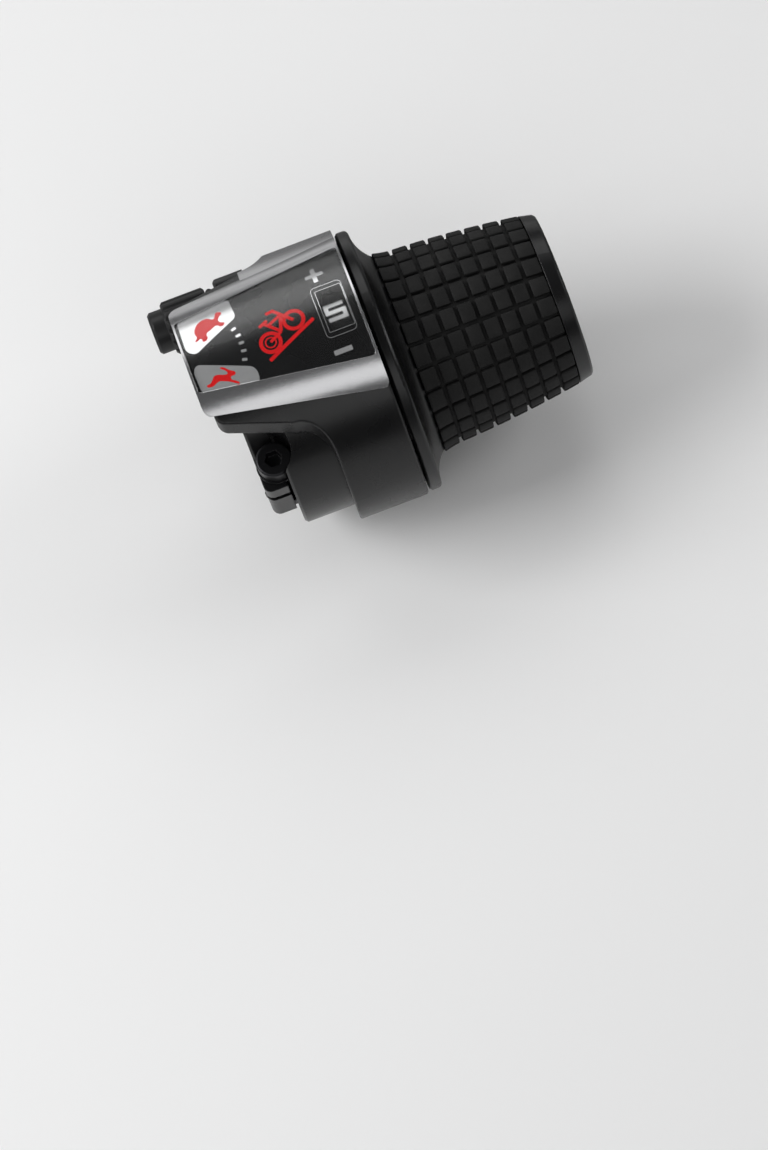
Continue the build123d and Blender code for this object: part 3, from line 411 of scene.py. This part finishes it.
def send_mask(group, start, end, first, second):
    """Send out the product of two masks and the group's amount."""
    mask = math_node(group, "MULTIPLY", first, second)
    group.links.new(math_node(group, "MULTIPLY", mask, start.outputs["Amount"]), end.inputs["Mask"])


def make_moulded_grain():
    """Fine texture of a moulded face: cloudy gloss over a close grain."""
    group, start, end = new_group(
        "moulded_grain", [("Grain", GRAIN), ("Cloud", CLOUD), ("Rough", ROUGH), ("Spread", MOULD_SPREAD)],
        [("Roughness", "NodeSocketFloat"), ("Height", "NodeSocketFloat"), ("Mottle", "NodeSocketFloat")])
    close = part_noise(group, start.outputs["Grain"], GRAIN_DETAIL)
    cloud = part_noise(group, start.outputs["Cloud"], CLOUD_DETAIL)
    send_roughness(group, start, end, cloud)
    group.links.new(close, end.inputs["Height"])
    group.links.new(cloud, end.inputs["Mottle"])
    return group


def make_edge_wear():
    """Softened edges, and a mask of where hands and bags rub them, broken up by noise."""
    group, start, end = new_group(
        "edge_wear", [("Width", EDGE_WIDTH), ("Breakup", WEAR_BREAKUP), ("Amount", WEAR_AMOUNT)],
        [("Mask", "NodeSocketFloat"), ("Normal", "NodeSocketVector")])
    round_edge = add_node(group, "ShaderNodeBevel", {"samples": EDGE_SAMPLES})
    flat = add_node(group, "ShaderNodeNewGeometry")
    group.links.new(start.outputs["Width"], round_edge.inputs["Radius"])
    group.links.new(round_edge.outputs["Normal"], end.inputs["Normal"])
    turn = add_node(group, "ShaderNodeVectorMath", {"operation": "DOT_PRODUCT"})
    group.links.new(round_edge.outputs["Normal"], turn.inputs[0])
    group.links.new(flat.outputs["Normal"], turn.inputs[1])
    edge = spread(group, turn.outputs["Value"], EDGE_FLAT, EDGE_TURNED, 0, 1)
    patches = part_noise(group, start.outputs["Breakup"], WEAR_DETAIL)
    send_mask(group, start, end, edge, spread(group, patches, WEAR_LOW, WEAR_HIGH, 0, 1))
    return group


def make_settled_dust():
    """Mask of thin dust on faces that look up."""
    group, start, end = new_group("settled_dust", [("Amount", MOULD_DUST), ("Patch", DUST_PATCH)],
                                  [("Mask", "NodeSocketFloat")])
    face = add_node(group, "ShaderNodeNewGeometry")
    split = add_node(group, "ShaderNodeSeparateXYZ")
    group.links.new(face.outputs["Normal"], split.inputs["Vector"])
    up = spread(group, split.outputs["Z"], DUST_TILT, DUST_FLAT, 0, 1)
    patches = part_noise(group, start.outputs["Patch"], DUST_DETAIL)
    send_mask(group, start, end, up, spread(group, patches, DUST_LOW, DUST_HIGH, 0, 1))
    return group


def make_brushed_lines():
    """Fine lines of a brushed face, along the bar."""
    group, start, end = new_group(
        "brushed_lines", [("Fine", LINES), ("Rough", ROUGH), ("Spread", LINES_SPREAD)],
        [("Roughness", "NodeSocketFloat"), ("Height", "NodeSocketFloat")])
    lines = part_noise(group, start.outputs["Fine"], LINES_DETAIL, LINES_STRETCH)
    send_roughness(group, start, end, lines)
    group.links.new(lines, end.inputs["Height"])
    return group


def new_material(name, plain=None):
    """Start a material and set the plain values of its shader."""
    material = bpy.data.materials.new(name)
    material.use_nodes = True
    shader = material.node_tree.nodes["Principled BSDF"]
    for key, value in (plain or {}).items():
        shader.inputs[key].default_value = value
    return material, material.node_tree, shader


def use_group(tree, group, values):
    """Place a node group in a material with its own values."""
    return add_node(tree, "ShaderNodeGroup", {"node_tree": group}, values)


def bump(tree, shader, height, strength, depth, edges=None):
    """Feed a height, over softened edges if they are given, into the shader's normal."""
    node = add_node(tree, "ShaderNodeBump", values={"Strength": strength, "Distance": depth})
    tree.links.new(height, node.inputs["Height"])
    if edges:
        tree.links.new(edges, node.inputs["Normal"])
    tree.links.new(node.outputs["Normal"], shader.inputs["Normal"])


def moulded(name, colour, pale, rough, grain=GRAIN, depth=MOULD_DEPTH, wear=MOULD_WEAR, dust=MOULD_DUST,
            plain=SATIN):
    """Moulded plastic or rubber: cloudy colour, rubbed edges, a little dust and a close grain."""
    material, tree, shader = new_material(name, plain)
    texture = use_group(tree, MOULDED_GRAIN, {"Grain": grain, "Rough": rough})
    rubbed = use_group(tree, EDGE_WEAR, {"Amount": wear})
    dusty = use_group(tree, SETTLED_DUST, {"Amount": dust})
    dark = tuple(MOULD_DARK * c for c in colour[:3]) + (1,)
    body = mix_colours(tree, texture.outputs["Mottle"], dark, colour)
    worn = mix_colours(tree, rubbed.outputs["Mask"], body, pale)
    final = mix_colours(tree, dusty.outputs["Mask"], worn, DUST)
    tree.links.new(final, shader.inputs["Base Color"])
    tree.links.new(texture.outputs["Roughness"], shader.inputs["Roughness"])
    bump(tree, shader, texture.outputs["Height"], MOULD_BUMP, depth, rubbed.outputs["Normal"])
    return material


def metal(name, colour, pale, rough, fine=LINES, wear=WEAR_AMOUNT, depth=METAL_DEPTH, width=METAL_EDGE):
    """Finished metal: brushed lines, with rubbed edges in another tone."""
    material, tree, shader = new_material(name, {"Metallic": 1.0})
    lines = use_group(tree, BRUSHED_LINES, {"Fine": fine, "Rough": rough})
    rubbed = use_group(tree, EDGE_WEAR, {"Amount": wear, "Width": width})
    tree.links.new(mix_colours(tree, rubbed.outputs["Mask"], colour, pale), shader.inputs["Base Color"])
    tree.links.new(lines.outputs["Roughness"], shader.inputs["Roughness"])
    bump(tree, shader, lines.outputs["Height"], METAL_BUMP, depth, rubbed.outputs["Normal"])
    return material


def floor_paper():
    """Pale paper with a faint cloud, kept pale far away, and darker in reflections behind the part."""
    material, tree, shader = new_material(
        "floor_paper", {"Roughness": PAPER_ROUGH, "Emission Color": grey(1)})
    paper = mix_colours(tree, part_noise(tree, PAPER_CLOUD, PAPER_DETAIL), grey(PAPER_LOW), grey(PAPER_HIGH))
    place = add_node(tree, "ShaderNodeTexCoord")
    path = add_node(tree, "ShaderNodeLightPath")
    split = add_node(tree, "ShaderNodeSeparateXYZ")
    tree.links.new(place.outputs["Object"], split.inputs["Vector"])
    behind = spread(tree, split.outputs["Y"], SHADE_NEAR, SHADE_FULL, 0, SHADE_MOST)
    before = spread(tree, split.outputs["Y"], SHADE_FADE, SHADE_END, 1, 0)
    band = math_node(tree, "MULTIPLY", behind, before)
    shade = math_node(tree, "MULTIPLY", band, path.outputs["Is Glossy Ray"])
    tree.links.new(mix_colours(tree, shade, paper, grey(SHADE)), shader.inputs["Base Color"])
    away = add_node(tree, "ShaderNodeVectorMath", {"operation": "LENGTH"})
    tree.links.new(place.outputs["Object"], away.inputs[0])
    far = spread(tree, away.outputs["Value"], PAPER_NEAR, PAPER_FAR, 0, PAPER_GLOW)
    seen = math_node(tree, "MAXIMUM", path.outputs["Is Camera Ray"], path.outputs["Is Transmission Ray"])
    tree.links.new(math_node(tree, "MULTIPLY", far, seen), shader.inputs["Emission Strength"])
    return material


def clear_plastic():
    """Clear lens that lets the lamps reach the print under it, and that reflections pass through."""
    material, tree, shader = new_material(
        "clear_lens", {"Transmission Weight": 1.0, "IOR": LENS_IOR, "Base Color": LENS_COLOUR})
    texture = use_group(tree, MOULDED_GRAIN,
                        {"Grain": LENS_GRAIN, "Rough": LENS_ROUGH, "Spread": LENS_SPREAD})
    tree.links.new(texture.outputs["Roughness"], shader.inputs["Roughness"])
    path = add_node(tree, "ShaderNodeLightPath")
    through = add_node(tree, "ShaderNodeBsdfTransparent")
    surface = shader.outputs[0]
    for ray in ("Is Reflection Ray", "Is Shadow Ray"):
        mix = add_node(tree, "ShaderNodeMixShader")
        tree.links.new(path.outputs[ray], mix.inputs[0])
        tree.links.new(surface, mix.inputs[1])
        tree.links.new(through.outputs[0], mix.inputs[2])
        surface = mix.outputs[0]
    tree.links.new(surface, tree.nodes["Material Output"].inputs["Surface"])
    return material


def printed(name, colour, worn, rough, plain):
    """Screen-printed ink: even, with a faint unevenness in tone and gloss."""
    material, tree, shader = new_material(name, plain)
    texture = use_group(tree, MOULDED_GRAIN,
                        {"Grain": INK_GRAIN, "Cloud": INK_CLOUD, "Rough": rough, "Spread": INK_SPREAD})
    tree.links.new(mix_colours(tree, texture.outputs["Mottle"], colour, worn), shader.inputs["Base Color"])
    tree.links.new(texture.outputs["Roughness"], shader.inputs["Roughness"])
    bump(tree, shader, texture.outputs["Height"], INK_BUMP, INK_DEPTH)
    return material


def only(piece):
    """Select one piece alone and make it active."""
    bpy.ops.object.select_all(action="DESELECT")
    piece.select_set(True)
    bpy.context.view_layer.objects.active = piece


def open_edit(piece, pick="VERT"):
    """Go into edit mode on one piece with everything selected."""
    only(piece)
    bpy.ops.object.mode_set(mode="EDIT")
    bpy.ops.mesh.select_mode(type=pick)
    bpy.ops.mesh.select_all(action="SELECT")


def close_edit():
    """Leave edit mode."""
    bpy.ops.object.mode_set(mode="OBJECT")


def mend_normals():
    """Merge doubled points and turn every face outwards, in edit mode."""
    bpy.ops.mesh.select_all(action="SELECT")
    bpy.ops.mesh.remove_doubles(threshold=MERGE)
    bpy.ops.mesh.normals_make_consistent(inside=False)


def apply_modifier(piece, kind, **settings):
    """Add one modifier, set it and apply it."""
    only(piece)
    bpy.ops.object.modifier_add(type=kind)
    modifier = piece.modifiers[-1]
    for key, value in settings.items():
        setattr(modifier, key, value)
    bpy.ops.object.modifier_apply(modifier=modifier.name)


def apply_place(piece):
    """Put a piece's place, turn and size into its mesh."""
    only(piece)
    bpy.ops.object.transform_apply(location=True, rotation=True, scale=True)


def join_pieces(name, pieces):
    """Join pieces into one, under a new name."""
    only(pieces[0])
    for piece in pieces:
        piece.select_set(True)
    if len(pieces) > 1:
        bpy.ops.object.join()
    joined = bpy.context.object
    joined.name = name
    joined.data.name = name
    return joined


def finish_piece(piece, material, body, smooth=SMOOTH_ANGLE):
    """Give a piece its material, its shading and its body."""
    piece.data.materials.clear()
    piece.data.materials.append(material)
    only(piece)
    bpy.ops.object.shade_smooth_by_angle(angle=math.radians(smooth))
    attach(piece, body)


def tread_radius(x):
    """Return the tread's outer radius at a station along the bar, in millimetres."""
    if x < FLARE_X:
        share = (FLARE_X - x) / (FLARE_X - TREAD_START)
        return FLARE_R + (LIP_R - FLARE_R) * share ** LIP_POWER
    share = (x - FLARE_X) / (TREAD_RIGHT - FLARE_X)
    return FLARE_R + share * (END_R - FLARE_R) + 4 * SAG * share * (1 - share)


def groove_floor(x):
    """Return the radius of the grooves' floor at a station."""
    return tread_radius(x) - GROOVE_DEPTH


def block_root(x):
    """Return the radius where a block ends, a little under the grooves' floor."""
    return groove_floor(x) - BLOCK_ROOT


def tread_profile(left, right, cuts, top, bottom, angle):
    """Add a flat grid on a half-plane through the bar and pull its rows to two radii."""
    bpy.ops.object.select_all(action="DESELECT")
    bpy.ops.mesh.primitive_grid_add(x_subdivisions=cuts, y_subdivisions=1, size=1)
    profile = bpy.context.object
    for point in profile.data.vertices:
        x = left + (point.co.x + 0.5) * (right - left)
        radius = top(x) if point.co.y > 0 else bottom(x)
        point.co = Vector((x, radius * math.sin(angle), radius * math.cos(angle))) * MM
    return profile


def tread_column(column):
    """Spin one rounded block and copy it round the grip."""
    pitch = (TREAD_RIGHT - TREAD_START) / TREAD_COLUMNS
    left = TREAD_START + column * pitch + GROOVE_W / 2 if column else TREAD_LEFT
    right = TREAD_START + (column + 1) * pitch - GROOVE_W / 2
    if column == TREAD_COLUMNS - 1:
        right = TREAD_RIGHT
    row_angle = 2 * math.pi / TREAD_ROWS
    half = row_angle / 2 - GROOVE_W / 2 / tread_radius((left + right) / 2)
    cuts = LIP_CUTS if column == 0 else BLOCK_CUTS
    block = tread_profile(left, right, cuts, tread_radius, block_root, row_angle / 2 - half)
    open_edit(block)
    bpy.ops.mesh.spin(steps=BLOCK_STEPS, angle=2 * half, center=ORIGIN, axis=BAR_AXIS)
    mend_normals()
    bpy.ops.mesh.select_mode(type="EDGE")
    bpy.ops.mesh.select_all(action="DESELECT")
    bpy.ops.mesh.edges_select_sharp(sharpness=math.radians(BLOCK_SHARP))
    bpy.ops.mesh.bevel(offset=BLOCK_EDGE * MM, segments=BLOCK_EDGE_STEPS, affect="EDGES",
                       clamp_overlap=True)
    bpy.ops.mesh.select_all(action="SELECT")
    bpy.ops.mesh.spin(steps=TREAD_ROWS - 1, angle=row_angle * (TREAD_ROWS - 1), center=ORIGIN,
                      axis=BAR_AXIS, dupli=True)
    close_edit()
    return block


def build_tread(material):
    """Make the rubber tread: a tube with eight columns of rounded blocks on it."""
    columns = [tread_column(column) for column in range(TREAD_COLUMNS)]
    tube = tread_profile(TREAD_LEFT, TREAD_RIGHT, TUBE_CUTS, groove_floor, groove_floor, 0)
    open_edit(tube)
    bpy.ops.mesh.remove_doubles(threshold=MERGE)
    bpy.ops.mesh.select_all(action="SELECT")
    bpy.ops.mesh.spin(steps=TUBE_STEPS, angle=2 * math.pi, center=ORIGIN, axis=BAR_AXIS)
    mend_normals()
    close_edit()
    apply_modifier(tube, "SOLIDIFY", thickness=TREAD_BASE * MM, offset=-1)
    tread = join_pieces("grip_tread", [tube] + columns)
    finish_piece(tread, material, "grip", TREAD_ANGLE)
    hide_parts("grip_rubber")


def flat_shape(corners, rounding=0.0, steps=CORNER_STEPS):
    """Add a flat face with these corners, seen from above, and round its corners."""
    bpy.ops.object.select_all(action="DESELECT")
    bpy.ops.mesh.primitive_circle_add(vertices=len(corners), radius=1, fill_type="NGON")
    shape = bpy.context.object
    for point, (x, y) in zip(shape.data.vertices, corners):
        point.co = Vector((x, y, 0)) * MM
    if rounding:
        open_edit(shape)
        bpy.ops.mesh.bevel(offset=rounding * MM, segments=steps, affect="VERTICES")
        close_edit()
    return shape


def flat_bar(start, end, width, rounding=0.0):
    """Add a straight printed stroke from one place to another."""
    first, last = Vector(start), Vector(end)
    along = last - first
    side = Vector((-along.y, along.x)).normalized() * width / 2
    corners = [first + side, first - side, last - side, last + side]
    return flat_shape([tuple(c) for c in corners], rounding, STROKE_CORNER_STEPS)


def stroke_outline(points, width):
    """Return the corners of a stroke along straight runs, with square ends and mitred turns."""
    path = [Vector(point) for point in points]
    runs = [(end - start).normalized() for start, end in zip(path, path[1:])]
    sides = [Vector((-run.y, run.x)) for run in runs]
    edges = []
    for order in range(len(path)):
        first = sides[max(order - 1, 0)]
        last = sides[min(order, len(sides) - 1)]
        edges.append((first + last) / (1 + first.dot(last)) * width / 2)
    there = [tuple(place + edge) for place, edge in zip(path, edges)]
    back = [tuple(place - edge) for place, edge in zip(path, edges)]
    return there + back[::-1]


def cross_outline(centre, size, stroke):
    """Return the twelve corners of an upright cross."""
    half, thin = size / 2, stroke / 2
    corners = []
    for quarter in range(4):
        turn = Matrix.Rotation(math.radians(90 * quarter), 2)
        for corner in ((half, -thin), (half, thin), (thin, thin)):
            corners.append(tuple(Vector(centre) + turn @ Vector(corner)))
    return corners


def flat_ring(centre, radius, stroke):
    """Add a printed ring by drawing a circle's edge inwards."""
    bpy.ops.object.select_all(action="DESELECT")
    place = (centre[0] * MM, centre[1] * MM, 0)
    bpy.ops.mesh.primitive_circle_add(vertices=RING_STEPS, radius=radius * MM, location=place)
    ring = bpy.context.object
    apply_place(ring)
    open_edit(ring, "EDGE")
    bpy.ops.mesh.extrude_edges_move()
    share = (radius - stroke) / radius
    bpy.ops.transform.resize(value=(share, share, 1), center_override=place)
    close_edit()
    return ring


def flat_outline(box, corner):
    """Add a thin printed frame: a rounded face with its middle taken out."""
    left, right, low, high = box
    line = flat_shape([(left, low), (right, low), (right, high), (left, high)], corner)
    open_edit(line, "FACE")
    bpy.ops.mesh.inset(thickness=LINE * MM)
    bpy.ops.mesh.delete(type="FACE")
    close_edit()
    return line


def flat_figure(points, centre, turn, size):
    """Fill a smooth outline of this part's own drawing, turned and set in its place."""
    bpy.ops.object.select_all(action="DESELECT")
    bpy.ops.curve.primitive_bezier_circle_add()
    figure = bpy.context.object
    figure.data.dimensions = "2D"
    figure.data.fill_mode = "BOTH"
    spline = figure.data.splines[0]
    spline.resolution_u = FIGURE_STEPS
    spline.bezier_points.add(len(points) - len(spline.bezier_points))
    for knot, (u, v) in zip(spline.bezier_points, points):
        knot.handle_left_type = "AUTO"
        knot.handle_right_type = "AUTO"
        knot.co = Vector((u, v, 0)) * MM * size
    bpy.ops.object.convert(target="MESH")
    figure = bpy.context.object
    figure.rotation_euler = (0, 0, math.radians(turn))
    figure.location = (centre[0] * MM, centre[1] * MM, 0)
    apply_place(figure)
    return figure


def lay_on(piece, radius, lift=0.0):
    """Cut a flat piece in narrow strips, lay it round the bar and give it the ink's thickness."""
    reach = [point.co.y / MM for point in piece.data.vertices]
    first = math.ceil(min(reach) / SLICE)
    last = math.floor(max(reach) / SLICE)
    for strip in range(first, last + 1):
        open_edit(piece)
        bpy.ops.mesh.bisect(plane_co=(0, strip * SLICE * MM, 0), plane_no=(0, 1, 0))
        close_edit()
    for point in piece.data.vertices:
        point.co.z = math.sqrt(((radius + lift) * MM) ** 2 - point.co.y ** 2)
    open_edit(piece)
    mend_normals()
    close_edit()
    if sum(face.normal.z for face in piece.data.polygons) < 0:
        open_edit(piece)
        bpy.ops.mesh.flip_normals()
        close_edit()
    apply_modifier(piece, "SOLIDIFY", thickness=INK * MM, offset=1)


def print_on_panel(name, shapes, ink, lift=0.0, step=0.0):
    """Lay flat shapes on the display panel, each a step above the last, as one printed piece."""
    for order, shape in enumerate(shapes):
        lay_on(shape, PANEL_R, lift + order * step)
    finish_piece(join_pieces(name, shapes), ink, "housing")


def speed_tick(place):
    """Add one tick that points away from the middle of its fan."""
    middle = Vector(place)
    away = (middle - Vector(TICK_FAN)).normalized() * TICK_LENGTH / 2
    return flat_bar(tuple(middle - away), tuple(middle + away), TICK_WIDTH)


def on_slope(place):
    """Return a place of the slope sign, given along and above its slope, in plan."""
    turn = math.radians(SLOPE_TURN)
    along, above = place
    return (SLOPE_START[0] + along * math.cos(turn) - above * math.sin(turn),
            SLOPE_START[1] + along * math.sin(turn) + above * math.cos(turn))


def build_display(silver, red):
    """Print the speed tiles, the ticks, the slope sign, the marks and the window's frame."""
    print_on_panel("slow_tile", [flat_shape(SLOW_TILE, TILE_CORNER)], silver)
    print_on_panel("fast_tile", [flat_shape(FAST_TILE, TILE_CORNER)], silver)
    tortoise = flat_figure(TORTOISE, TORTOISE_PLACE, TORTOISE_TURN, TORTOISE_SIZE)
    print_on_panel("slow_figure", [tortoise], red, INK)
    hare = flat_figure(HARE, HARE_PLACE, HARE_TURN, HARE_SIZE)
    print_on_panel("fast_figure", [hare], red, INK)
    print_on_panel("speed_ticks", [speed_tick(place) for place in TICKS], silver)
    strokes = [flat_ring(centre, radius, stroke) for centre, radius, stroke in SIGN_RINGS]
    for start, end, width in SIGN_BARS:
        strokes.append(flat_bar(on_slope(start), on_slope(end), width, width * BAR_ROUNDING))
    print_on_panel("slope_sign", strokes, red, step=STROKE_STEP)
    plus = flat_shape(cross_outline(PLUS, MARK, MARK_STROKE), PLUS_CORNER)
    print_on_panel("plus_mark", [plus], silver)
    left, right = MINUS[0] - MARK / 2, MINUS[0] + MARK / 2
    minus = flat_bar((left, MINUS[1]), (right, MINUS[1]), MARK_STROKE, MINUS_CORNER)
    print_on_panel("minus_mark", [minus], silver)
    lines = [flat_outline(WINDOW_OUTER, WINDOW_OUTER_CORNER), flat_outline(WINDOW_INNER, WINDOW_INNER_CORNER)]
    print_on_panel("window_lines", lines, silver)


def build_numbers(ink):
    """Print the gear numbers round the number ring, the highest gear at the top."""
    for order, gear in enumerate(GEARS):
        strokes = []
        for part, shares in enumerate(DIGITS[gear]):
            places = [(DIGIT_X + (u - 0.5) * DIGIT_W, DIGIT_Y + (v - 0.5) * DIGIT_H) for u, v in shares]
            outline = stroke_outline(places, DIGIT_STROKE)
            strokes.append(flat_shape(outline, DIGIT_CORNER, STROKE_CORNER_STEPS))
            lay_on(strokes[-1], NUMBER_R, part * STROKE_STEP)
        number = join_pieces("gear_number_%d" % gear, strokes)
        number.data.transform(Matrix.Rotation(math.radians(-GEAR_STEP * order), 4, "X"))
        finish_piece(number, ink, "grip")


def dress_node(name, material):
    """Give a CAD node its finished material."""
    slots = NODES[name].data.materials
    slots.clear()
    slots.append(material)


def dress_nodes():
    """Give every CAD node the finish of the real piece."""
    housing = moulded("housing_plastic", colour=(0.0036, 0.0036, 0.0040, 1), pale=grey(0.03), rough=0.28)
    sleeve = moulded("grip_plastic", colour=(0.0032, 0.0032, 0.0036, 1), pale=grey(0.025), rough=0.30)
    silver = metal("silver_trim", colour=(0.56, 0.56, 0.57, 1), pale=grey(0.78), rough=0.26,
                   fine=7000, wear=0.15, depth=0.0000003, width=0.00008)
    oxide = metal("black_steel", colour=(0.030, 0.030, 0.032, 1), pale=grey(0.25), rough=0.36)
    zinc = metal("plain_steel", colour=(0.55, 0.55, 0.56, 1), pale=grey(0.70), rough=0.32)
    spring = metal("spring_steel", colour=(0.42, 0.42, 0.44, 1), pale=grey(0.60), rough=0.28)
    panel = moulded("display_black", colour=(0.003, 0.003, 0.0034, 1), pale=grey(0.04), rough=0.28,
                    depth=0.000001, wear=0, dust=0, plain={"Specular IOR Level": 0.3})
    number = moulded("number_plastic", colour=(0.006, 0.006, 0.0065, 1), pale=grey(0.06), rough=0.45, dust=0)
    drum = moulded("drum_plastic", colour=(0.55, 0.54, 0.51, 1), pale=(0.70, 0.70, 0.68, 1), rough=0.48)
    adjuster = moulded("adjuster_plastic", colour=(0.008, 0.008, 0.0085, 1), pale=grey(0.05), rough=0.40)
    ring = moulded("ring_rubber", colour=grey(0.012), pale=grey(0.05), rough=0.65)
    lens = clear_plastic()
    finishes = {
        housing: ["bracket", "outer_shell"], sleeve: ["grip_sleeve"], silver: ["cover_frame"],
        oxide: ["clamp_bolt", "clamp_washer", "clamp_nut"],
        zinc: ["shell_screws", "cover_screws", "spring_screw", "thrust_washer"],
        spring: ["detent_spring", "retaining_clip"], panel: ["display_panel"], lens: ["display_lens"],
        number: ["number_ring"], drum: ["winding_drum", "index_ring", "cable_guide"],
        adjuster: ["adjuster_barrel"], ring: ["adjuster_ring"],
    }
    for material, names in finishes.items():
        for name in names:
            dress_node(name, material)


MOULDED_GRAIN = make_moulded_grain()
EDGE_WEAR = make_edge_wear()
SETTLED_DUST = make_settled_dust()
BRUSHED_LINES = make_brushed_lines()

place_camera()
build_studio()
dress_nodes()
rubber = moulded("grip_rubber", colour=grey(0.009), pale=grey(0.03), rough=0.66, grain=3600,
                 depth=0.00002, wear=0.5, dust=0.03, plain={"Specular IOR Level": 0.22})
build_tread(rubber)
silver_ink = printed("silver_ink", colour=(0.74, 0.74, 0.75, 1), worn=grey(0.80), rough=0.14,
                     plain={"Metallic": 0.72})
red_ink = printed("red_ink", colour=(0.62, 0.006, 0.008, 1), worn=(0.68, 0.008, 0.010, 1), rough=0.5,
                  plain={"Specular IOR Level": 0.1})
number_ink = printed("number_ink", colour=(0.90, 0.90, 0.91, 1), worn=grey(0.94), rough=0.34,
                     plain={"Metallic": 0.9})
build_display(silver_ink, red_ink)
build_numbers(number_ink)
